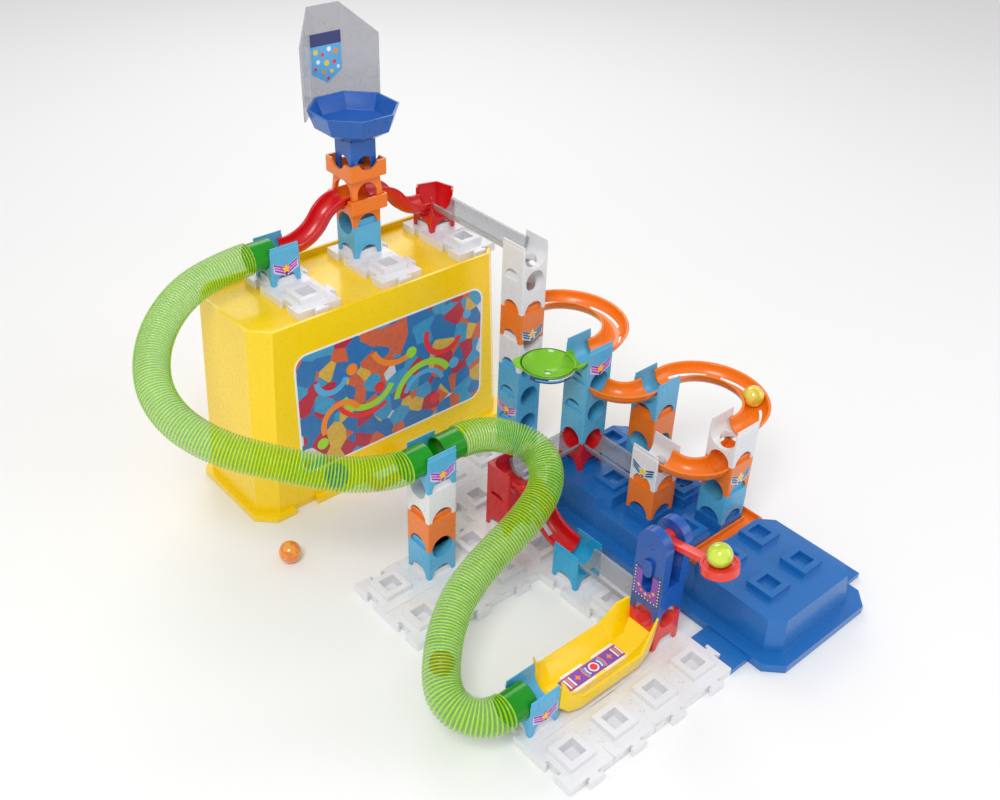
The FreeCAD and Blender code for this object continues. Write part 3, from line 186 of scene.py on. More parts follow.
class Graph:
    """A material's node tree, with its Principled shader."""

    def __init__(self, name: str) -> None:
        """Start a new material of this name."""
        self.material = bpy.data.materials.new(name)
        self.material.use_nodes = True
        self.nodes = self.material.node_tree.nodes
        self.links = self.material.node_tree.links
        self.shader = self.nodes["Principled BSDF"]

    def feed(self, value: Value, socket: bpy.types.NodeSocket) -> None:
        """Link a Socket, or set a plain value."""
        if isinstance(value, Socket):
            self.links.new(value.output, socket)
        else:
            socket.default_value = value

    def set(self, **values: Value) -> None:
        """Set or link the shader's inputs, named with underscores."""
        for name, value in values.items():
            self.feed(value, self.shader.inputs[name.replace("_", " ")])

    def node(self, kind: str, settings: Optional[dict] = None, values: Optional[dict] = None,
             output: Union[int, str] = 0) -> Socket:
        """Add a node.

        Args:
            kind: The node's type.
            settings: Its own settings, set first. A ramp has stops and an interpolation.
            values: Values or links of its inputs, by their name or place.
            output: Name or place of the wanted output.

        Returns:
            That output.
        """
        node = self.nodes.new(kind)
        for name, value in (settings or {}).items():
            if name == "stops":
                self._set_stops(node.color_ramp, value)
            elif name == "interpolation":
                node.color_ramp.interpolation = value
            else:
                setattr(node, name, value)
        for name, value in (values or {}).items():
            self.feed(value, node.inputs[name])
        return Socket(self, node.outputs[output])

    @staticmethod
    def _set_stops(ramp: bpy.types.ColorRamp, stops: Sequence[tuple]) -> None:
        """Give a ramp its places and colours."""
        while len(ramp.elements) < len(stops):
            ramp.elements.new(0.5)
        for element, (position, colour) in zip(ramp.elements, stops):
            element.position = position
            element.color = (*colour, 1)

    def place(self) -> Socket:
        """The surface's place in the object's own axes."""
        return self.node("ShaderNodeTexCoord", output="Object")

    def noise(self, scale: float, detail: float = 3, distortion: float = 0) -> Socket:
        """Soft noise between 0 and 1."""
        return self.node("ShaderNodeTexNoise", values={
            "Vector": self.place(), "Scale": scale, "Detail": detail, "Distortion": distortion,
        }, output="Fac")

    def cells(self, scale: float, output: str) -> Socket:
        """An output of a pattern of irregular cells."""
        return self.node("ShaderNodeTexVoronoi", values={"Vector": self.place(), "Scale": scale},
                         output=output)

    def ramp(self, factor: Socket, stops: Sequence[tuple], step: bool = False) -> Socket:
        """Colours picked by a factor, blended or in steps.

        Args:
            factor: What picks the colour.
            stops: Pairs of a place between 0 and 1 and a linear RGB colour.
            step: Whether each colour holds up to the next one.

        Returns:
            The colour.
        """
        kept = "CONSTANT" if step else "LINEAR"
        return self.node("ShaderNodeValToRGB", {"interpolation": kept, "stops": stops}, {0: factor})

    def mix(self, factor: Value, first: Value, second: Value) -> Socket:
        """A blend of two colours."""
        colours = [value if isinstance(value, Socket) else (*value, 1) for value in (first, second)]
        return self.node("ShaderNodeMix", {"data_type": "RGBA"},
                         {"Factor": factor, MIX_FIRST: colours[0], MIX_SECOND: colours[1]},
                         output=MIX_RESULT)

    def bump(self, height: Socket, strength: float, distance: float) -> None:
        """Let a height raise the surface."""
        self.set(Normal=self.node("ShaderNodeBump", values={
            "Strength": strength, "Distance": distance, "Height": height}))


def scaled(colour: Sequence[float], factor: float) -> tuple:
    """A colour made darker or lighter."""
    return tuple(min(1.0, channel * factor) for channel in colour)


# ------------------------------------------------------------------ finishes


@dataclass(frozen=True)
class Moulded:
    """Injection-moulded plastic: faint flow clouds, fine grain and small scuffs."""

    name: str
    colour: Sequence[float]
    gloss: float = 0.28
    coat: float = 0.25

    def make(self) -> bpy.types.Material:
        """The finish's material."""
        graph = Graph(self.name)
        clouds = graph.noise(28, 4)
        graph.set(Base_Color=graph.ramp(clouds, [(0.3, scaled(self.colour, 0.985)), (0.7, self.colour)]))
        scuffs = graph.noise(210, 6, distortion=0.4)
        graph.set(Roughness=scuffs * 0.08 + (self.gloss - 0.04), Coat_Weight=self.coat, Coat_Roughness=0.12)
        graph.set(Specular_IOR_Level=0.45, Subsurface_Weight=0.0)
        grain = graph.noise(2600, 2) * 0.5 + graph.noise(70, 2) * 0.4
        graph.bump(grain, 0.035, 0.2 * MM)
        return graph.material


@dataclass(frozen=True)
class Tinted:
    """See-through moulded plastic: tint clouds, a coat and faint ripples."""

    name: str
    colour: Sequence[float]
    alpha: float
    through: float = 0.0
    gloss: float = 0.08

    def make(self) -> bpy.types.Material:
        """The finish's material."""
        graph = Graph(self.name)
        clouds = graph.noise(30, 3)
        graph.set(Base_Color=graph.ramp(clouds, [(0.3, scaled(self.colour, 0.9)),
                                                 (0.7, scaled(self.colour, 1.08))]))
        graph.set(Alpha=clouds * 0.12 + (self.alpha - 0.06))
        graph.set(Roughness=graph.noise(160, 4) * 0.10 + self.gloss)
        graph.set(Transmission_Weight=self.through, IOR=1.25, Coat_Weight=0.5, Coat_Roughness=0.06)
        graph.bump(graph.noise(120, 2), 0.08, 0.3 * MM)
        return graph.material


@dataclass(frozen=True)
class Ribbed:
    """Lime tube wall: denser crests over clearer valleys, with painted highlights on the crests and painted
    shade in the valleys.
    """

    name: str
    alpha: float = 0.30
    crest_alpha: float = 0.36

    def make(self) -> bpy.types.Material:
        """The finish's material, which reads the mesh's crest attribute."""
        graph = Graph(self.name)
        crest = graph.node("ShaderNodeAttribute", {"attribute_name": CREST}, output="Fac")
        clouds = graph.noise(24, 3)
        # Painted shade and painted highlight: the valleys get a darker green and the crests a bright
        # yellow-green, blended by the crest share.
        valley = graph.ramp(clouds, [(0.3, (0.08, 0.38, 0.0)), (0.7, (0.12, 0.46, 0.0))])
        top = graph.ramp(clouds, [(0.3, (0.42, 0.80, 0.0)), (0.7, (0.52, 0.90, 0.0))])
        graph.set(Base_Color=graph.mix(crest ** 1.6, valley, top))
        graph.set(Alpha=crest * self.crest_alpha + self.alpha)
        graph.set(Roughness=graph.noise(160, 4) * 0.10 + 0.10, Coat_Weight=0.6, Coat_Roughness=0.06)
        graph.bump(graph.noise(120, 2), 0.06, 0.3 * MM)
        return graph.material


@dataclass(frozen=True)
class Printed:
    """Sticker ink under a glossy film, with a fine print screen."""

    name: str
    colour: Sequence[float]

    def make(self) -> bpy.types.Material:
        """The finish's material."""
        graph = Graph(self.name)
        screen = graph.cells(1800, "Distance")
        graph.set(Base_Color=graph.ramp(screen, [(0.1, scaled(self.colour, 0.93)),
                                                 (0.5, scaled(self.colour, 1.03))]))
        filmed(graph)
        return graph.material


@dataclass(frozen=True)
class Collage:
    """A printed pattern of mixed bright chips."""

    name: str

    def make(self) -> bpy.types.Material:
        """The finish's material."""
        graph = Graph(self.name)
        pick = graph.node("ShaderNodeSeparateXYZ", values={0: graph.cells(62, "Color")})
        colour = graph.ramp(pick, [(0.0, (0.03, 0.22, 0.55)), (0.28, (0.06, 0.42, 0.72)),
                                   (0.5, (0.85, 0.16, 0.02)), (0.66, (0.65, 0.02, 0.02)),
                                   (0.8, (0.92, 0.58, 0.03)), (0.93, (0.86, 0.87, 0.9))], step=True)
        shade = graph.noise(260, 3)
        graph.set(Base_Color=graph.mix(shade * 0.5, colour, (0.02, 0.05, 0.16)))
        filmed(graph)
        return graph.material


@dataclass(frozen=True)
class Polished:
    """A solid marble with soft swirls of a second tone under a clear coat."""

    name: str
    colour: Sequence[float]
    swirl: Sequence[float]

    def make(self) -> bpy.types.Material:
        """The finish's material."""
        graph = Graph(self.name)
        bands = graph.noise(90, 3, distortion=1.6)
        graph.set(Base_Color=graph.ramp(bands, [(0.42, self.colour), (0.56, self.swirl)]))
        graph.set(Roughness=graph.noise(400, 4) * 0.08 + 0.07, Coat_Weight=0.8, Coat_Roughness=0.04)
        graph.bump(graph.noise(500, 3), 0.03, 0.1 * MM)
        return graph.material


def filmed(graph: Graph) -> None:
    """Put a sticker's glossy, slightly wavy film over a printed colour."""
    graph.set(Roughness=graph.noise(140, 3) * 0.10 + 0.26, Coat_Weight=0.3)
    graph.bump(graph.noise(60, 3), 0.06, 0.2 * MM)


Finish = Union[Moulded, Tinted, Ribbed, Printed, Collage, Polished]


class Library:
    """The scene's materials, each made once on first use."""

    CLEAR_SETTINGS = {Clear.LIME: (0.10, 0.0), Clear.LEAF: (0.86, 0.10), Clear.GREEN: (0.84, 0.0),
                      Clear.GREY: (0.46, 0.0), Clear.BOARD: (0.50, 0.0)}

    def __init__(self) -> None:
        """Start with no materials."""
        self._made: dict = {}

    def get(self, finish: Finish) -> bpy.types.Material:
        """The material of a finish."""
        if finish.name not in self._made:
            self._made[finish.name] = finish.make()
        return self._made[finish.name]

    def paint(self, paint: Paint) -> bpy.types.Material:
        """The moulded plastic of a colour."""
        return self.get(Moulded(f"plastic_{paint.name.lower()}", paint.value))

    def clear(self, tint: Clear) -> bpy.types.Material:
        """The see-through plastic of a tint."""
        return self.get(Tinted(f"clear_{tint.name.lower()}", tint.value, *self.CLEAR_SETTINGS[tint]))

    def ink(self, ink: Ink) -> bpy.types.Material:
        """The sticker film of a printed colour."""
        return self.get(Printed(f"ink_{ink.name.lower()}", ink.value))

    def inks(self, *inks: Ink) -> list:
        """The sticker films of several printed colours."""
        return [self.ink(ink) for ink in inks]


# ------------------------------------------------------------------ mesh helpers


def mesh_object(name: str, mesh: bmesh.types.BMesh, materials: Iterable,
                smooth: float = 35) -> bpy.types.Object:
    """Turn a bmesh into an object at the origin.

    Args:
        name: Name of the object.
        mesh: The bmesh, which is freed.
        materials: Its materials, in the order of the faces' indices.
        smooth: Edges up to this angle, in degrees, are shaded smooth.

    Returns:
        The new object.
    """
    data = bpy.data.meshes.new(name)
    mesh.to_mesh(data)
    mesh.free()
    for material in materials:
        data.materials.append(material)
    for polygon in data.polygons:
        polygon.use_smooth = True
    data.set_sharp_from_angle(angle=math.radians(smooth))
    obj = bpy.data.objects.new(name, data)
    bpy.context.scene.collection.objects.link(obj)
    return obj


def merged_copy(node: bpy.types.Object) -> bmesh.types.BMesh:
    """A CAD node's mesh with its corners joined, its flat faces whole and one material.

    Args:
        node: The CAD node's object.

    Returns:
        A new bmesh.
    """
    mesh = bmesh.new()
    mesh.from_mesh(node.data)
    bmesh.ops.remove_doubles(mesh, verts=mesh.verts, dist=MERGE_GAP)
    bmesh.ops.dissolve_limit(mesh, angle_limit=math.radians(1.0), verts=mesh.verts, edges=mesh.edges)
    for face in mesh.faces:
        face.material_index = 0
    return mesh


def softened(node: bpy.types.Object, name: str, material: bpy.types.Material,
             width: float = 0.45 * MM) -> bpy.types.Object:
    """A merged copy of a CAD node whose sharp edges are rounded.

    Args:
        node: The CAD node's object.
        name: Name of the new piece.
        material: Its material.
        width: Width of the rounded edges.

    Returns:
        The new piece.
    """
    obj = mesh_object(name, merged_copy(node), [material], 30)
    bevel = obj.modifiers.new("Bevel", "BEVEL")
    bevel.width = width
    bevel.segments = 2
    bevel.limit_method = "ANGLE"
    bevel.angle_limit = math.radians(40)
    bevel.harden_normals = True
    bevel.use_clamp_overlap = True
    return obj


def chamfered(node: bpy.types.Object, name: str, material: bpy.types.Material,
              width: float = 0.4 * MM) -> bpy.types.Object:
    """A merged copy of a CAD node with narrow bevels that stay inside its own box.

    Args:
        node: The CAD node's object.
        name: Name of the new piece.
        material: Its material.
        width: Width of the bevels.

    Returns:
        The new piece.
    """
    mesh = merged_copy(node)
    low = [min(vertex.co[axis] for vertex in mesh.verts) for axis in range(3)]
    high = [max(vertex.co[axis] for vertex in mesh.verts) for axis in range(3)]
    sharp = [edge for edge in mesh.edges if edge.calc_face_angle(0) > math.radians(40)]
    bmesh.ops.bevel(mesh, geom=sharp, offset=width, segments=2, profile=0.5, affect="EDGES",
                    clamp_overlap=True, material=-1)
    for vertex in mesh.verts:
        vertex.co = [min(max(value, low[axis]), high[axis]) for axis, value in enumerate(vertex.co)]
    return mesh_object(name, mesh, [material], 8)


@dataclass(frozen=True)
class Frame:
    """A point on a path with its forward and up directions."""

    point: Vector
    forward: Vector
    up: Vector

    @property
    def side(self) -> Vector:
        """The direction to the right of the path."""
        return self.forward.cross(self.up)


def spline_points(route: Sequence[Vector], name: str, resolution: int = 40) -> list:
    """Points along a smooth NURBS curve.

    Args:
        route: The curve's control points.
        name: Name of the curve while it exists.
        resolution: Points for each control point.

    Returns:
        The points, from the route's start to its end.
    """
    data = bpy.data.curves.new(name, "CURVE")
    data.dimensions = "3D"
    data.resolution_u = resolution
    spline = data.splines.new("NURBS")
    spline.points.add(len(route) - 1)
    for point, place in zip(spline.points, route):
        point.co = (*place, 1)
    spline.order_u = 3
    spline.use_endpoint_u = True
    spline.resolution_u = resolution
    obj = bpy.data.objects.new(name, data)
    bpy.context.scene.collection.objects.link(obj)
    bpy.context.view_layer.update()
    mesh = bpy.data.meshes.new_from_object(obj)
    points = [vertex.co.copy() for vertex in mesh.vertices]
    bpy.data.objects.remove(obj)
    bpy.data.meshes.remove(mesh)
    bpy.data.curves.remove(data)
    return points


def resample(points: Sequence[Vector], step: float) -> list:
    """Points at an even step along a polyline, its ends included.

    Args:
        points: The polyline.
        step: The wanted distance between two points.

    Returns:
        The new points.
    """
    lengths = [0.0]
    for a, b in zip(points, points[1:]):
        lengths.append(lengths[-1] + (b - a).length)
    total = lengths[-1]
    count = max(2, round(total / step))
    result = []
    index = 0
    for number in range(count + 1):
        target = total * number / count
        while index < len(lengths) - 2 and lengths[index + 1] < target:
            index += 1
        span = max(lengths[index + 1] - lengths[index], 1e-9)
        result.append(points[index].lerp(points[index + 1], (target - lengths[index]) / span))
    return result


def frames_along(points: Sequence[Vector]) -> list:
    """Frames that keep Z as near to up as the path allows.

    Args:
        points: The path.

    Returns:
        A frame for each point.
    """
    frames = []
    for number, point in enumerate(points):
        before = points[max(0, number - 1)]
        after = points[min(len(points) - 1, number + 1)]
        forward = (after - before).normalized()
        side = forward.cross(Vector((0, 0, 1))).normalized()
        frames.append(Frame(point, forward, side.cross(forward)))
    return frames


def loft_rings(mesh: bmesh.types.BMesh, rings: Sequence[list], closed: bool) -> list:
    """Join rings of points with quads.

    Args:
        mesh: The bmesh that gets the faces.
        rings: Rings of equally many points.
        closed: Whether each ring closes on itself.

    Returns:
        The faces, in one row for each pair of rings.
    """
    rows = []
    made = [[mesh.verts.new(point) for point in ring] for ring in rings]
    for lower, upper in zip(made, made[1:]):
        count = len(lower) if closed else len(lower) - 1
        row = []
        for k in range(count):
            after = (k + 1) % len(lower)
            row.append(mesh.faces.new((lower[k], lower[after], upper[after], upper[k])))
        rows.append(row)
    return rows


# ------------------------------------------------------------------ tubes


@dataclass(frozen=True)
class TubeStyle:
    """Measures of a corrugated tube."""

    crest: float = 14.9 * MM
    valley: float = 13.3 * MM
    bore: float = 11.9 * MM
    rib: float = 2.7 * MM
    steps: int = 6
    around: int = 36


def corrugated_tube(name: str, route: Sequence[tuple], style: TubeStyle,
                    materials: Iterable) -> bpy.types.Object:
    """A ribbed hollow tube along a smooth route.

    Args:
        name: Name of the piece.
        route: Control points, in millimetres.
        style: The tube's measures.
        materials: The materials of its ribs and of its bore.

    Returns:
        The new piece.
    """
    path = spline_points([Vector(point) * MM for point in route], name + "_path")
    path = resample(path, style.rib / style.steps)
    frames = frames_along(path)

    def ring(frame: Frame, radius: float) -> list:
        """Points round the path at one of its frames."""
        return [frame.point + radius * (math.cos(a) * frame.side + math.sin(a) * frame.up)
                for a in (math.tau * k / style.around for k in range(style.around))]

    waves = [(0.5 - 0.5 * math.cos(math.tau * number / style.steps)) ** 0.7
             for number in range(len(frames))]
    rings = [ring(frame, style.valley + (style.crest - style.valley) * wave)
             for frame, wave in zip(frames, waves)]
    inner = [ring(frame, style.bore) for frame in frames[::style.steps]]
    mesh = bmesh.new()
    crest = mesh.verts.layers.float.new(CREST)
    loft_rings(mesh, rings, True)
    mesh.verts.ensure_lookup_table()
    for number, vertex in enumerate(mesh.verts):
        vertex[crest] = waves[number // style.around]
    for row in loft_rings(mesh, inner, True):
        for face in row:
            face.material_index = 1
    mesh.verts.ensure_lookup_table()
    ends = [edge for edge in mesh.edges if edge.is_boundary]
    bmesh.ops.bridge_loops(mesh, edges=[e for e in ends if near_end(e, frames[0].point)])
    bmesh.ops.bridge_loops(mesh, edges=[e for e in ends if near_end(e, frames[-1].point)])
    bmesh.ops.recalc_face_normals(mesh, faces=mesh.faces)
    return mesh_object(name, mesh, materials, 80)


def near_end(edge: bmesh.types.BMEdge, place: Vector) -> bool:
    """Whether an edge belongs to the tube's end at a place."""
    return all((vertex.co - place).length < 18 * MM for vertex in edge.verts)


UPPER_ROUTE = ((17, 450, 227), (0, 450, 227), (-48, 445, 221), (-92, 418, 207), (-119, 378, 190),
               (-122, 338, 175), (-103, 300, 161), (-68, 268, 149), (-30, 240, 136),
               (8, 225, 131), (17, 225, 131))
LOWER_ROUTE = ((73, 225, 131), (88, 225, 131), (122, 222, 118), (141, 194, 109), (124, 164, 99),
               (86, 150, 88), (44, 146, 76), (4, 137, 65), (-30, 115, 55), (-57, 85, 44),
               (-57, 62, 38), (-40, 45, 35), (-28, 45, 35))


# ------------------------------------------------------------------ tracks


@dataclass(frozen=True)
class TrackStyle:
    """How an open track is made."""

    material: bpy.types.Material
    slots: Sequence[tuple] = ()
    wall: float = 1.5 * MM
    lip: float = 1.3 * MM
    step: float = 1.5 * MM
    across: int = 24


def open_track(name: str, frames: Sequence[Frame], style: TrackStyle) -> bpy.types.Object:
    """A half-pipe with rolled lips and slots through its floor.

    Args:
        name: Name of the piece.
        frames: Frames along the half-pipe's axis.
        style: Its measures, slots and material. A slot is (start share, end share,
            low degree, high degree), with 0 degrees straight down.

    Returns:
        The new piece.
    """
    inner = TRACK_OUT - style.lip - 0.1 * MM
    mesh = bmesh.new()
    angles = [math.radians(-90 + 180 * k / style.across) for k in range(style.across + 1)]
    rings = []
    for frame in frames:
        ring = [frame.point + inner * (math.sin(a) * frame.side - math.cos(a) * frame.up)
                for a in angles]
        lip = style.lip * frame.side
        rings.append([ring[0] - lip, *ring, ring[-1] + lip])
    rows = loft_rings(mesh, rings, False)
    gone = []
    for number, row in enumerate(rows):
        share = (number + 0.5) / len(rows)
        for k, face in enumerate(row[1:-1]):
            middle = -90 + 180 * (k + 0.5) / style.across
            if any(a < share < b and low < middle < high for a, b, low, high in style.slots):
                gone.append(face)
    bmesh.ops.delete(mesh, geom=gone, context="FACES")
    bmesh.ops.recalc_face_normals(mesh, faces=mesh.faces)
    if mesh.faces and sum((f.normal.z for f in mesh.faces)) < 0:
        bmesh.ops.reverse_faces(mesh, faces=mesh.faces)
    obj = mesh_object(name, mesh, [style.material], 50)
    wall = obj.modifiers.new("Wall", "SOLIDIFY")
    wall.thickness = style.wall
    wall.offset = 1
    bevel = obj.modifiers.new("Bevel", "BEVEL")
    bevel.width = 0.3 * MM
    bevel.segments = 2
    bevel.limit_method = "ANGLE"
    bevel.angle_limit = math.radians(50)
    return obj


def line_frames(start: Vector, end: Vector, step: float = 2 * MM) -> list:
    """Frames along a straight line."""
    return frames_along(resample([start, end], step))


def arc_points(centre: Vector, radius: float, first: float, last: float, tilt: float = 0) -> list:
    """Points on a level arc that is tilted about the X direction.

    Args:
        centre: The arc's centre, which the tilt's axis passes.
        radius: Its radius.
        first: Angle of its start, in degrees.
        last: Angle of its end, in degrees.
        tilt: Angle of the tilt, in radians.

    Returns:
        The points, about 2.5 degrees apart.
    """
    turn = Matrix.Rotation(tilt, 3, "X")
    count = max(8, int(abs(last - first) / 2.5))
    points = []
    for k in range(count + 1):
        angle = math.radians(first + (last - first) * k / count)
        points.append(centre + turn @ Vector((radius * math.cos(angle), radius * math.sin(angle), 0)))
    return points


def track_height(count: float) -> float:
    """Height of a track's axis where it lies on a tower of so many levels."""
    return PLATE + LEVEL * count - TRACK_SET


# ------------------------------------------------------------------ stickers


@dataclass(frozen=True)
class Face:
    """A flat place for a sticker: its middle, and its right and up directions."""

    middle: Vector
    right: Vector
    up: Vector

    @property
    def out(self) -> Vector:
        """The direction that the face looks in."""
        return self.right.cross(self.up)

    def at(self, x: float, y: float, lift: float = 0) -> Vector:
        """A place on the face, or a little above it."""
        return self.middle + self.right * x + self.up * y + self.out * lift


def outline_piece(mesh: bmesh.types.BMesh, face: Face, outline: Sequence[tuple], index: int,
                  layer: float) -> None:
    """Add a thin flat shape to a mesh.

    Args:
        mesh: The sticker's bmesh.
        face: Where the sticker sits.
        outline: The shape's corners, in order.
        index: Index of its material.
        layer: How many layers lie under it.
    """
    low = 0.02 * MM
    high = (0.16 + 0.07 * layer) * MM
    verts = [mesh.verts.new(face.at(x, y, low)) for x, y in outline]
    bottom = mesh.faces.new(verts)
    made = bmesh.ops.extrude_face_region(mesh, geom=[bottom])["geom"]
    moved = [item for item in made if isinstance(item, bmesh.types.BMVert)]
    bmesh.ops.translate(mesh, verts=moved, vec=face.out * (high - low))
    group = {f for v in verts + moved for f in v.link_faces}
    for item in group:
        item.material_index = index
    bmesh.ops.recalc_face_normals(mesh, faces=list(group))


def star(points: int, outer: float, inner: float, x: float = 0, y: float = 0) -> list:
    """The outline of a star.

    Args:
        points: How many points it has.
        outer: Radius of its points.
        inner: Radius of its inner corners.
        x: Its middle, to the right.
        y: Its middle, upwards.

    Returns:
        The corners, in order.
    """
    return [(x + (outer if k % 2 == 0 else inner) * math.sin(math.pi * k / points),
             y + (outer if k % 2 == 0 else inner) * math.cos(math.pi * k / points))
            for k in range(2 * points)]


def disc(radius: float, x: float = 0, y: float = 0, sides: int = 32) -> list:
    """The outline of a disc."""
    return [(x + radius * math.cos(math.tau * k / sides), y + radius * math.sin(math.tau * k / sides))
            for k in range(sides)]


def band(x: float, y: float, radius: float, wide: float, first: float, last: float,
         sides: int = 24) -> list:
    """The outline of a curved band.

    Args:
        x: The curve's centre, to the right.
        y: The curve's centre, upwards.
        radius: Radius of the band's middle line.
        wide: The band's width.
        first: Angle of its start, in degrees.
        last: Angle of its end, in degrees.
        sides: Sides along the band.

    Returns:
        The corners, in order.
    """
    angles = [math.radians(first + (last - first) * k / sides) for k in range(sides + 1)]
    outer, inner = ([(x + reach * math.cos(a), y + reach * math.sin(a)) for a in angles]
                    for reach in (radius + wide / 2, radius - wide / 2))
    return outer + inner[::-1]


def rounded_box(wide: float, high: float, radius: float, sides: int = 6) -> list:
    """The outline of a rectangle with round corners.

    Args:
        wide: Its width.
        high: Its height.
        radius: Radius of its corners.
        sides: Sides of each corner.

    Returns:
        The corners, in order.
    """
    points = []
    for cx, cy, start in ((1, 1, 0), (-1, 1, 90), (-1, -1, 180), (1, -1, 270)):
        for k in range(sides + 1):
            a = math.radians(start + 90 * k / sides)
            points.append((cx * (wide / 2 - radius) + radius * math.cos(a),
                           cy * (high / 2 - radius) + radius * math.sin(a)))
    return points


def wing_badge(name: str, face: Face, library: Library, inks: Sequence[Ink]) -> bpy.types.Object:
    """A star on two striped wings.

    Args:
        name: Name of the piece.
        face: Where it sits.
        library: The scene's materials.
        inks: Colours of the star, the wings' ground, their stripes and the star's edge.

    Returns:
        The new piece.
    """
    mesh = bmesh.new()

    def slanted(side: int, low: float, high: float, reach: float, index: int, layer: int) -> None:
        """Add a bar that rises from the middle to one side."""
        drop = 5.6
        shape = [(side * 1.0 * MM, (low - drop) * MM), (side * reach * MM, low * MM),
                 (side * reach * MM, high * MM), (side * 1.0 * MM, (high - drop) * MM)]
        outline_piece(mesh, face, shape[::side], index, layer)

    for side in (-1, 1):
        slanted(side, -2.4, 6.8, 12.8, 1, 0)
        for low, reach, index in ((4.6, 12.3, 3), (1.8, 11.8, 2), (-1.0, 11.3, 3)):
            slanted(side, low, low + 1.7, reach, index, 1)
    outline_piece(mesh, face, star(5, 6.4 * MM, 3.0 * MM, 0, -1.2 * MM), 4, 2)
    outline_piece(mesh, face, star(5, 5.0 * MM, 2.3 * MM, 0, -1.2 * MM), 0, 3)
    materials = [library.ink(ink) for ink in inks]
    return mesh_object(name, mesh, materials, 30)


def south_face(column: float, row: float, level: float, z: float = 16) -> Face:
    """The side of a tower that looks to -Y, at a level."""
    return Face(Vector((PITCH * column, PITCH * row - BLOCK / 2, PLATE + LEVEL * level + z * MM)),
                Vector((1, 0, 0)), Vector((0, 0, 1)))


def west_face(column: float, row: float, level: float, z: float = 16) -> Face:
    """The side of a tower that looks to -X, at a level."""
    return Face(Vector((PITCH * column - BLOCK / 2, PITCH * row, PLATE + LEVEL * level + z * MM)),
                Vector((0, -1, 0)), Vector((0, 0, 1)))


# ------------------------------------------------------------------ sub-assemblies


@dataclass
class Assembly:
    """What every sub-assembly shares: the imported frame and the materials."""

    frame: dict
    library: Library

    def body_of(self, node: str) -> str:
        """The body that a CAD node belongs to."""
        bodies = self.frame["record"]["behaviour"]["bodies"]
        return next(body for body, members in bodies.items() if node in members)

    def keep(self, obj: bpy.types.Object, body: str, *nodes: str) -> bpy.types.Object:
        """Let a piece ride on a body and stand for CAD nodes.

        Args:
            obj: The finished piece.
            body: The body that it rides on.
            nodes: The CAD nodes that it stands for.

        Returns:
            The same piece.
        """
        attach(obj, body)
        if nodes:
            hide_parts(*nodes)
        LOG.info("%s on %s", obj.name, body)
        return obj


@dataclass
class MouldedPieces(Assembly):
    """The pieces whose CAD shape is right, shown with softened edges."""

    NODE_PAINT = {
        "white_plastic": Paint.WHITE, "dark_blue_plastic": Paint.DEEP_BLUE, "orange_plastic": Paint.ORANGE,
        "yellow_plastic": Paint.YELLOW, "light_blue_plastic": Paint.LIGHT_BLUE, "red_plastic": Paint.RED,
        "grey_clear_plastic": Clear.GREY, "lime_clear_plastic": Clear.LEAF,
        "green_clear_plastic": Clear.GREEN,
    }
    SPECIAL = {
        "blue_base": Paint.BASE_BLUE, "funnel_bowl": Paint.BOWL_BLUE, "low_connector": Paint.CYAN,
        "launcher_red_block": Paint.LAUNCH_RED, "launcher_arm": Paint.LAUNCH_RED,
        "bowl_neck": Paint.BOWL_BLUE, "backboard": Clear.BOARD,
    }
    REMADE = {"upper_tube", "lower_tube", "short_straight_tracks", "long_straight_track", "red_slides",
              "large_curves", "small_curves"}

    def finish_for(self, node: str) -> bpy.types.Material:
        """The material of a CAD node's piece.

        Args:
            node: Name of the node.

        Returns:
            The material.
        """
        choice = self.SPECIAL.get(node)
        if choice is None:
            slots = {part["node"]: part["material_slot"] for part in self.frame["record"]["subparts"]}
            choice = self.NODE_PAINT[slots[node]]
        if isinstance(choice, Paint):
            return self.library.paint(choice)
        return self.library.clear(choice)

    def build(self) -> None:
        """Make a piece for every node that no other class makes."""
        for name, node in self.frame["nodes"].items():
            if name in self.REMADE or name in Marbles.TONES:
                continue
            shape = chamfered if "_floor_plate" in name else softened
            piece = shape(node, "piece_" + name, self.finish_for(name))
            self.keep(piece, self.body_of(name), name)


@dataclass
class Marbles(Assembly):
    """The five marbles, each in the place of its CAD ball."""

    segments: int = 48
    rings: int = 32
    line_share: float = 0.02
    line_depth: float = 0.996

    TONES = {
        "upper_tube_marble": ("blue", (0.02, 0.08, 0.22), (0.05, 0.16, 0.36)),
        "lower_tube_marble": ("brown", (0.42, 0.11, 0.02), (0.62, 0.20, 0.05)),
        "floor_marble": ("orange", (0.80, 0.20, 0.01), (0.90, 0.34, 0.04)),
        "curve_marble": ("gold", (0.70, 0.50, 0.03), (0.86, 0.68, 0.10)),
        "launcher_marble": ("lime", (0.48, 0.62, 0.02), (0.62, 0.78, 0.06)),
    }

    def marble(self, name: str, material: bpy.types.Material) -> None:
        """A smooth marble with a faint parting line.

        Args:
            name: Name of its CAD ball.
            material: Its material.
        """
        low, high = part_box(name)
        centre, radius = (low + high) / 2, (high.z - low.z) / 2
        mesh = bmesh.new()
        bmesh.ops.create_uvsphere(mesh, u_segments=self.segments, v_segments=self.rings, radius=radius)
        for vertex in mesh.verts:
            if abs(vertex.co.z) < radius * self.line_share:
                vertex.co *= self.line_depth
        bmesh.ops.translate(mesh, verts=mesh.verts, vec=centre)
        self.keep(mesh_object("piece_" + name, mesh, [material], 80), self.body_of(name), name)

    def build(self) -> None:
        """Make all marbles."""
        for name, (label, colour, swirl) in self.TONES.items():
            self.marble(name, self.library.get(Polished(f"marble_{label}", colour, swirl)))


@dataclass
class Tubes(Assembly):
    """The two corrugated tubes."""

    style: TubeStyle = TubeStyle()

    def build(self) -> None:
        """Make both tubes."""
        materials = [self.library.get(Ribbed("clear_lime_ribbed")), self.library.clear(Clear.LIME)]
        for name, route in (("upper_tube", UPPER_ROUTE), ("lower_tube", LOWER_ROUTE)):
            self.keep(corrugated_tube("piece_" + name, route, self.style, materials), ROOT, name)


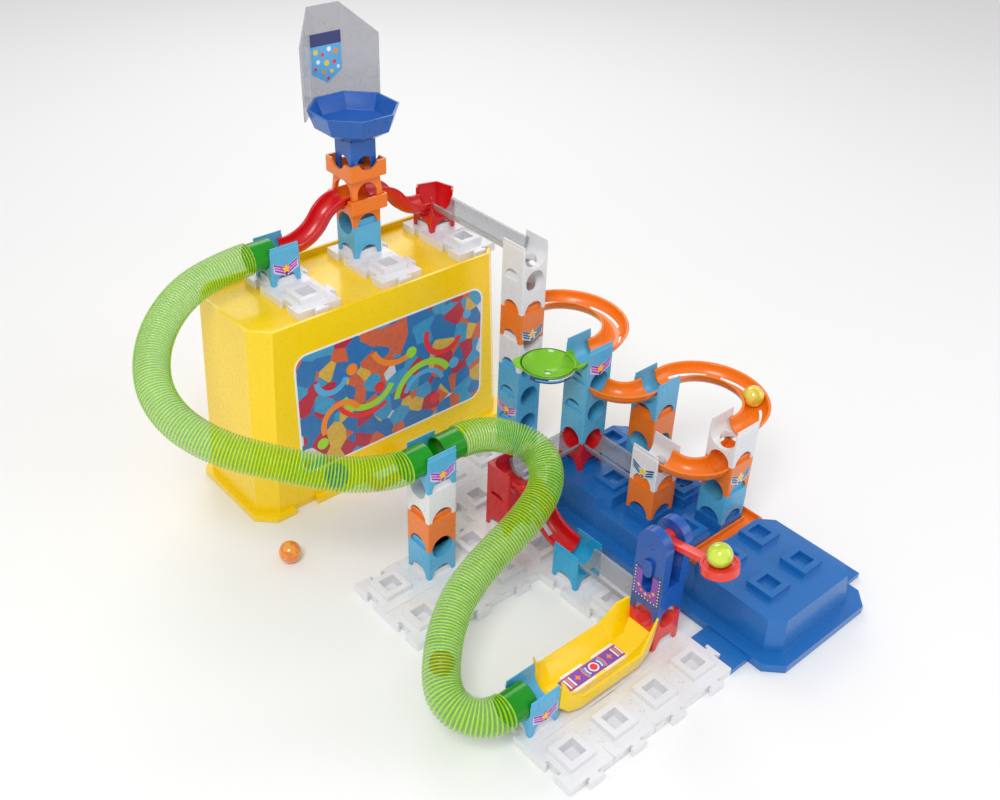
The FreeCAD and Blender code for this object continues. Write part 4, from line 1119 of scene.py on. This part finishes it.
@dataclass
class Tracks(Assembly):
    """All open tracks. Slots are shares of the length and degrees from straight down."""

    step: float = 1.5 * MM
    tilt: float = math.radians(2.5)
    arc_steps: int = 12
    straight_slots: tuple = ((0.12, 0.88, -14, 14),)
    slide_slots: tuple = ((0.25, 0.72, -13, 13),)
    curve_slots: tuple = ((0.06, 0.28, 22, 38), (0.36, 0.62, 22, 38), (0.70, 0.92, 22, 38))
    bend_slots: tuple = ((0.25, 0.75, -14, 14),)

    def straights(self) -> None:
        """The three short tracks and the long one."""
        style = TrackStyle(self.library.clear(Clear.GREY), self.straight_slots)
        x3, x5, y5 = 3 * PITCH, 5 * PITCH, 5 * PITCH
        runs = (("track_e_c", (x5, 3 * PITCH + HALF), (x5, y5 - HALF), 2, ("short_straight_tracks",)),
                ("track_c_tall", (x3 + HALF - SEAT, y5), (x5 - HALF, y5), 2, ()),
                ("track_low", (x3, PITCH + HALF), (x3, 3 * PITCH - HALF + SEAT), 1, ()),
                ("long_track", (x5, 7 * PITCH + HALF - SEAT), (x5, 10 * PITCH - HALF + 0.25 * SEAT), 7,
                 ("long_straight_track",)))
        for name, start, end, count, nodes in runs:
            z = track_height(count)
            frames = line_frames(Vector((*start, z)), Vector((*end, z)))
            self.keep(open_track("piece_" + name, frames, style), ROOT, *nodes)

    def slides(self) -> None:
        """The three red slides."""
        style = TrackStyle(self.library.paint(Paint.RED), self.slide_slots)
        x3, y5 = 3 * PITCH, 5 * PITCH
        places = (("low", Vector((x3, y5 - HALF, track_height(1))), -90, ("red_slides",)),
                  ("west", Vector((x3 - HALF, 10 * PITCH, track_height(7))), 180, ()),
                  ("east", Vector((x3 + HALF, 10 * PITCH, track_height(7))), 0, ()))
        for name, place, turn, nodes in places:
            piece = open_track("piece_slide_" + name, self.slide_frames(place, turn), style)
            self.keep(piece, ROOT, *nodes)

    def large_curves(self) -> None:
        """The two half circles that drop a little on their way round."""
        style = TrackStyle(self.library.paint(Paint.ORANGE_TRACK), self.curve_slots)
        drop = math.sin(self.tilt) * PITCH
        for name, column, row, count, nodes in (("b_c", 5, 6, 5, ("large_curves",)), ("d_f", 6, 3, 4, ())):
            centre = Vector((PITCH * column + HALF, PITCH * row,
                             PLATE + LEVEL * count - TRACK_SET / 2 - drop))
            points = arc_points(centre, PITCH, -90, 90, self.tilt)
            points.insert(0, points[0] - Vector((SEAT, 0, 0)))
            if column == 6:
                points.append(points[-1] - Vector((SEAT, 0, 0)))
            piece = open_track("piece_curve_" + name, frames_along(resample(points, self.step)), style)
            self.keep(piece, ROOT, *nodes)

    def small_curves(self) -> None:
        """The two quarter circles."""
        style = TrackStyle(self.library.paint(Paint.ORANGE_TRACK), self.bend_slots)
        for name, column, row, count, seat, nodes in (("c_d", 6, 5, 4, "x", ("small_curves",)),
                                                      ("f_e", 6, 3, 3, "y", ())):
            centre = Vector((PITCH * column - HALF, PITCH * row - HALF, track_height(count)))
            points = arc_points(centre, PITCH - HALF, 180, 270)
            if seat == "x":
                points.append(points[-1] + Vector((SEAT, 0, 0)))
            else:
                points.insert(0, points[0] + Vector((0, SEAT, 0)))
            piece = open_track("piece_bend_" + name, frames_along(resample(points, self.step)), style)
            self.keep(piece, ROOT, *nodes)

    def slide_frames(self, place: Vector, turn: float) -> list:
        """Frames of an S-shaped slide that comes down one level from a block's wall.

        Args:
            place: The point one level under the place where the slide leaves the block.
            turn: The direction in which it leaves the block, in degrees about Z.

        Returns:
            The frames from its top to its foot.
        """
        run = 2 * PITCH - BLOCK
        half_turn = 2 * math.atan(LEVEL / run)
        bend = run / (2 * math.sin(half_turn))
        points = []
        for k in range(self.arc_steps + 1):
            angle = math.pi / 2 - half_turn * k / self.arc_steps
            points.append(Vector((bend * math.cos(angle), 0, LEVEL - bend + bend * math.sin(angle))))
        for k in range(self.arc_steps, -1, -1):
            angle = -math.pi / 2 - half_turn * k / self.arc_steps
            points.append(Vector((run + bend * math.cos(angle), 0, bend + bend * math.sin(angle))))
        points.append(Vector((run + SEAT, 0, 0)))
        spin = Matrix.Rotation(math.radians(turn), 3, "Z")
        return frames_along(resample([place + spin @ point for point in points], self.step))

    def build(self) -> None:
        """Make all tracks."""
        self.straights()
        self.slides()
        self.large_curves()
        self.small_curves()


@dataclass
class Badges(Assembly):
    """Star stickers on the towers."""

    bright: tuple = (Ink.STAR, Ink.PINK, Ink.MAGENTA, Ink.PURPLE, Ink.MAGENTA)
    dark: tuple = (Ink.STAR, Ink.PALE, Ink.NAVY, Ink.NAVY, Ink.WHITE)

    def build(self) -> None:
        """Make all badges."""
        places = (("a", south_face(1, 5, 3), self.bright), ("c", south_face(5, 5, 4), self.bright),
                  ("finish", south_face(0, 1, 0), self.bright), ("case", south_face(1, 10, 6), self.bright),
                  ("b_low", west_face(5, 7, 1), self.bright), ("b_high", south_face(5, 7, 4, 8), self.dark),
                  ("e", west_face(5, 3, 2), self.dark), ("f", south_face(6, 2, 2), self.dark))
        for name, face, inks in places:
            self.keep(wing_badge("piece_badge_" + name, face, self.library, inks), ROOT)


@dataclass
class CaseLabel(Assembly):
    """A rounded label with a plain collage of bands and discs on the case's front."""

    middle: tuple = (115, 371, 101)
    wide: float = 216
    high: float = 130
    corner: float = 14
    border: float = 2
    first_band_layer: float = 2
    band_layer: float = 0.4
    disc_layer: float = 6

    BANDS = ((-30, 12, 30, 7, 200, 330, 2), (-30, 12, 38, 5, 195, 300, 3), (35, -30, 34, 7, 30, 170, 2),
             (35, -30, 24, 5, 20, 160, 4), (60, 30, 22, 6, 160, 330, 3), (-62, -22, 20, 6, 20, 200, 5),
             (-70, 30, 16, 6, 180, 340, 4), (5, 48, 30, 6, 200, 300, 5))
    DISCS = ((-18, -2, 6, 3), (20, 22, 6, 2), (72, -10, 6, 4), (-48, 30, 6, 5),
             (48, -42, 6, 3), (-84, -38, 6, 2), (88, 40, 5, 4))

    def build(self) -> None:
        """Make the label."""
        face = Face(Vector(self.middle) * MM, Vector((1, 0, 0)), Vector((0, 0, 1)))
        mesh = bmesh.new()
        for inset, index, layer in ((0, 1, 0), (self.border, 0, 1)):
            shape = rounded_box((self.wide - 2 * inset) * MM, (self.high - 2 * inset) * MM,
                                (self.corner - inset) * MM)
            outline_piece(mesh, face, shape, index, layer)
        for number, (x, y, radius, wide, first, last, index) in enumerate(self.BANDS):
            shape = band(x * MM, y * MM, radius * MM, wide * MM, first, last)
            outline_piece(mesh, face, shape, index, self.first_band_layer + self.band_layer * number)
        for x, y, radius, index in self.DISCS:
            outline_piece(mesh, face, disc(radius * MM, x * MM, y * MM), index, self.disc_layer)
        inks = [self.library.get(Collage("ink_collage")),
                *self.library.inks(Ink.WHITE, Ink.LIME, Ink.RED, Ink.SKY, Ink.ORANGE)]
        self.keep(mesh_object("piece_case_label", mesh, inks, 30), ROOT)


@dataclass
class CatchTray(Assembly):
    """The target strip and the pale slots on the catch tray's floor."""

    middle: tuple = (67, 45, 15.5)
    strip: tuple = (68, 13, 1.5)
    slot: tuple = (24, 1.9, 0.9)
    slot_x: float = 17
    slot_y: float = 8.1

    RINGS = ((7.2, 1), (9.0, 3), (10.8, 4))
    BARS = ((23.5, 1), (26.0, 4), (28.5, 1), (31.0, 2))

    @property
    def face(self) -> Face:
        """The tray's floor."""
        return Face(Vector(self.middle) * MM, Vector((1, 0, 0)), Vector((0, 1, 0)))

    def target_strip(self) -> None:
        """A strip with a ring target, stars and bars."""
        mesh = bmesh.new()
        outline_piece(mesh, self.face, rounded_box(*(size * MM for size in self.strip)), 0, 0)
        outline_piece(mesh, self.face, disc(4.6 * MM), 1, 1)
        outline_piece(mesh, self.face, disc(3.3 * MM), 2, 2)
        for side in (-1, 1):
            middle = 0 if side > 0 else 180
            for radius, index in self.RINGS:
                shape = band(0, 0, radius * MM, 1.2 * MM, middle - 32, middle + 32)
                outline_piece(mesh, self.face, shape, index, 1)
            outline_piece(mesh, self.face, star(4, 3.4 * MM, 1.5 * MM, side * 17.5 * MM), 4, 1)
            for shift, index in self.BARS:
                shape = [(side * (shift + x) * MM, y * MM)
                         for x, y in ((-0.8, -5), (0.8, -5), (0.8, 5), (-0.8, 5))]
                outline_piece(mesh, self.face, shape[::side], index, 1)
        inks = self.library.inks(Ink.VIOLET, Ink.WHITE, Ink.RED, Ink.SKY, Ink.ORANGE)
        self.keep(mesh_object("piece_tray_strip", mesh, inks, 30), ROOT)

    def slots(self) -> None:
        """Pale slots beside the strip."""
        mesh = bmesh.new()
        for y in (self.slot_y, -self.slot_y):
            for x in (-self.slot_x, self.slot_x):
                box = rounded_box(*(size * MM for size in self.slot))
                outline_piece(mesh, self.face, [(x * MM + a, y * MM + b) for a, b in box], 0, 0)
        self.keep(mesh_object("piece_tray_slots", mesh, self.library.inks(Ink.PAPER), 30), ROOT)

    def build(self) -> None:
        """Make the strip and the slots."""
        self.target_strip()
        self.slots()


@dataclass
class LauncherLabel(Assembly):
    """The violet label with a spotted border round the launcher's slot."""

    wide: float = 13.6 * MM
    tall: float = 15 * MM
    border: float = 2.2 * MM
    hole: float = 5.2 * MM
    hole_drop: float = -1 * MM
    hole_steps: int = 16
    spot: float = 0.7 * MM
    spot_sides: int = 10

    STARS = ((200, 3), (235, 4), (270, 3), (305, 4), (340, 3))

    def build(self) -> None:
        """Make the label."""
        low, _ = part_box("launcher_housing")
        face = Face(Vector((low.x, PITCH, 72 * MM)), Vector((0, -1, 0)), Vector((0, 0, 1)))
        mesh = bmesh.new()
        turns = (math.radians(180 + 180 * k / self.hole_steps) for k in range(self.hole_steps + 1))
        arc = [(self.hole * math.cos(a), self.hole_drop + self.hole * math.sin(a)) for a in turns]
        for inset, index, layer in ((0, 0, 0), (self.border, 1, 1)):
            x, y = self.wide - inset, self.tall - inset
            notch = [(-self.hole, y), *arc, (self.hole, y)]
            outline_piece(mesh, face, [(-x, y), (-x, -y), (x, -y), (x, y), *reversed(notch)], index, layer)
        for k in range(9):
            for x in (-12.5 * MM, 12.5 * MM):
                spot = disc(self.spot, x, (-13.4 + 3.3 * k) * MM, self.spot_sides)
                outline_piece(mesh, face, spot, 2, 1)
        for k in range(7):
            spot = disc(self.spot, (-9.6 + 3.2 * k) * MM, -13.8 * MM, self.spot_sides)
            outline_piece(mesh, face, spot, 2, 1)
        for angle, index in self.STARS:
            a = math.radians(angle)
            x, y = 8.2 * MM * math.cos(a), self.hole_drop + 8.2 * MM * math.sin(a)
            outline_piece(mesh, face, star(4, 2.2 * MM, 0.9 * MM, x, y), index, 2)
        inks = self.library.inks(Ink.NAVY, Ink.VIOLET, Ink.WHITE, Ink.STAR, Ink.ORANGE)
        self.keep(mesh_object("piece_launcher_label", mesh, inks, 30), ROOT)


@dataclass
class Pennant(Assembly):
    """A spotted pennant on the backboard's middle panel."""

    column: float = 3
    row: float = 10
    panel_out: float = 39.38 * MM
    below_top: float = 45 * MM

    FLAG = ((-16, 21), (-16, -14), (0, -24), (16, -14), (16, 21))
    HEAD = ((-16, 21), (-16, 10), (16, 10), (16, 21))
    SPOTS = ((-11, 5, 2.4, 2), (-4, 2, 1.8, 3), (3, 6, 2.2, 4), (10, 3, 2.5, 5), (-9, -4, 2.0, 4),
             (0, -6, 2.6, 2), (8, -6, 2.0, 3), (-3, -14, 2.1, 5), (5, -14, 1.8, 2), (-12, -10, 1.7, 3),
             (12, -11, 1.6, 4), (1, -20, 1.7, 3))

    def build(self) -> None:
        """Make the pennant."""
        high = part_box("backboard")[1]
        middle = Vector((self.column * PITCH, self.row * PITCH + self.panel_out, high.z - self.below_top))
        face = Face(middle, Vector((1, 0, 0)), Vector((0, 0, 1)))
        mesh = bmesh.new()
        for index, outline in enumerate((self.FLAG, self.HEAD)):
            outline_piece(mesh, face, [(x * MM, y * MM) for x, y in outline], index, index)
        for x, y, radius, index in self.SPOTS:
            outline_piece(mesh, face, disc(radius * MM, x * MM, y * MM, 20), index, 1)
        inks = self.library.inks(Ink.SKY, Ink.NAVY, Ink.STAR, Ink.RED, Ink.WHITE, Ink.ORANGE)
        self.keep(mesh_object("piece_pennant", mesh, inks, 30), ROOT)


@dataclass
class SwirlDish(Assembly):
    """The leaf-shaped rim of the swirl dish, with a printed skirt under its front."""

    radius: float = 25 * MM
    inner: float = 23.2 * MM
    thick: float = 1.2
    y: float = 234 * MM
    sides: int = 96
    tongue_at: float = math.radians(138)
    tongue_reach: float = 0.27
    tongue_width: float = 0.36
    skirt_wall: float = 0.7

    SKIRT = ((186, 320, -6.4, -1.2, 0, 24.2), (200, 262, -4.8, -3.4, 1, 24.45),
             (228, 300, -3.2, -2.2, 2, 24.45), (282, 312, -5.4, -4.0, 1, 24.45))

    def reach(self, angle: float) -> float:
        """The rim's outer radius in a direction, in radians."""
        turn = angle - self.tongue_at
        away = math.atan2(math.sin(turn), math.cos(turn))
        return self.radius * (0.985 + self.tongue_reach * math.exp(-(away / self.tongue_width) ** 2))

    def rim(self, centre: Vector, top: float) -> None:
        """The rim, as a closed ring with a flat top.

        Args:
            centre: The dish's middle, seen from above.
            top: Height of its top.
        """
        mesh = bmesh.new()
        rings = []
        section = ((True, 0.0), (True, self.thick), (False, self.thick), (False, 0.0), (True, 0.0))
        for inside, height in section:
            ring = []
            for k in range(self.sides):
                a = math.tau * k / self.sides
                r = self.inner if inside else self.reach(a)
                ring.append(centre + Vector((r * math.cos(a), r * math.sin(a),
                                             top - (self.thick - height) * MM)))
            rings.append(ring)
        loft_rings(mesh, rings, True)
        bmesh.ops.remove_doubles(mesh, verts=mesh.verts, dist=1e-6)
        bmesh.ops.recalc_face_normals(mesh, faces=mesh.faces)
        self.keep(mesh_object("piece_dish_rim", mesh, [self.library.clear(Clear.LEAF)], 40), ROOT)

    def skirt(self, centre: Vector, top: float) -> None:
        """The printed band under the dish's front rim.

        Args:
            centre: The dish's middle, seen from above.
            top: Height of its top.
        """
        mesh = bmesh.new()
        base = Vector((centre.x, centre.y, top))
        for first, last, low, high, index, radius in self.SKIRT:
            rings = []
            for k in range(41):
                a = math.radians(first + (last - first) * k / 40)
                outward = Vector((math.cos(a), math.sin(a), 0))
                rings.append([base + outward * out * MM + Vector((0, 0, z * MM))
                              for out, z in ((radius - self.skirt_wall, low), (radius, low),
                                             (radius, high), (radius - self.skirt_wall, high))])
            for row in loft_rings(mesh, rings, True):
                for face in row:
                    face.material_index = index
        bmesh.ops.recalc_face_normals(mesh, faces=mesh.faces)
        inks = self.library.inks(Ink.NAVY, Ink.SKY, Ink.WHITE)
        self.keep(mesh_object("piece_dish_skirt", mesh, inks, 40), ROOT)

    def build(self) -> None:
        """Make the rim and the skirt."""
        low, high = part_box("swirl_dish")
        centre = Vector((low.x + self.radius, self.y, 0))
        self.rim(centre, high.z)
        self.skirt(centre, high.z)


# ------------------------------------------------------------------ the studio


@dataclass(frozen=True)
class Studio:
    """A pale floor, soft lights and the camera."""

    floor_half: float = 6
    floor_drop: float = 0.2 * MM
    world: float = 0.62
    azimuth: float = math.radians(-42.163)
    elevation: float = math.radians(34.619)
    roll: float = math.radians(2.127)
    place: tuple = (-0.40177, -0.35016, 0.68921)
    sensor: float = 36
    lens: float = 39.99

    LAMPS = (("key", (-0.9, -0.5, 1.7), (0.12, 0.25, 0.1), 0.7, 19),
             ("fill", (1.5, -0.9, 0.9), (0.15, 0.2, 0.1), 1.0, 5),
             ("back", (0.9, 1.5, 1.3), (0.1, 0.3, 0.2), 0.9, 7))

    def floor(self) -> None:
        """A wide pale floor."""
        mesh = bmesh.new()
        bmesh.ops.create_grid(mesh, x_segments=1, y_segments=1, size=self.floor_half)
        bmesh.ops.translate(mesh, verts=mesh.verts, vec=(0, 0, -self.floor_drop))
        graph = Graph("stage_floor")
        graph.set(Base_Color=graph.ramp(graph.noise(2), [(0, (0.90, 0.90, 0.90)), (1, (0.92, 0.92, 0.92))]))
        graph.set(Roughness=0.7)
        mesh_object("stage_floor", mesh, [graph.material])

    def sky(self) -> None:
        """Even white light from all sides."""
        world = bpy.data.worlds.new("studio")
        world.use_nodes = True
        background = world.node_tree.nodes["Background"]
        background.inputs[0].default_value = (1, 1, 1, 1)
        background.inputs[1].default_value = self.world
        bpy.context.scene.world = world

    @staticmethod
    def lamp(name: str, place: tuple, target: tuple, size: float, power: float) -> None:
        """A square soft light that points at a target.

        Args:
            name: Name of the light.
            place: Where it stands.
            target: What it points at.
            size: Its width.
            power: Its power in watts.
        """
        data = bpy.data.lights.new(name, "AREA")
        data.size = size
        data.energy = power
        lamp = bpy.data.objects.new(name, data)
        lamp.location = place
        direction = Vector(target) - Vector(place)
        lamp.rotation_euler = direction.to_track_quat("-Z", "Y").to_euler()
        bpy.context.scene.collection.objects.link(lamp)

    def camera(self) -> None:
        """The view from the front left, looking down along the grid's diagonal."""
        azimuth, elevation, roll = self.azimuth, self.elevation, self.roll
        look = Vector((-math.sin(azimuth) * math.cos(elevation), math.cos(azimuth) * math.cos(elevation),
                       -math.sin(elevation)))
        level = Vector((math.cos(azimuth), math.sin(azimuth), 0))
        upright = level.cross(look)
        right = math.cos(roll) * level + math.sin(roll) * upright
        up = -math.sin(roll) * level + math.cos(roll) * upright
        data = bpy.data.cameras.new("camera")
        data.sensor_width = self.sensor
        data.lens = self.lens
        data.clip_start = 0.01
        camera = bpy.data.objects.new("camera", data)
        axes = Matrix((right, up, -look)).transposed().to_4x4()
        camera.matrix_world = Matrix.Translation(self.place) @ axes
        bpy.context.scene.collection.objects.link(camera)
        bpy.context.scene.camera = camera

    def build(self) -> None:
        """Make the floor, the lights and the camera, and set plain colours."""
        self.floor()
        self.sky()
        for lamp in self.LAMPS:
            self.lamp(*lamp)
        self.camera()
        scene = bpy.context.scene
        scene.view_settings.view_transform = "Standard"
        scene.view_settings.look = "None"
        scene.view_settings.exposure = 0.0


def main() -> None:
    """Build the scene in order."""
    logging.basicConfig(level=logging.INFO)
    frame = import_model()
    LOG.info("loaded %d nodes", len(frame["nodes"]))
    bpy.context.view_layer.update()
    Studio().build()
    library = Library()
    for assembly in (MouldedPieces, Marbles, Tubes, Tracks, Badges, CaseLabel, CatchTray, LauncherLabel,
                     Pennant, SwirlDish):
        assembly(frame, library).build()
    bpy.context.view_layer.update()


if __name__ == "__main__":
    main()
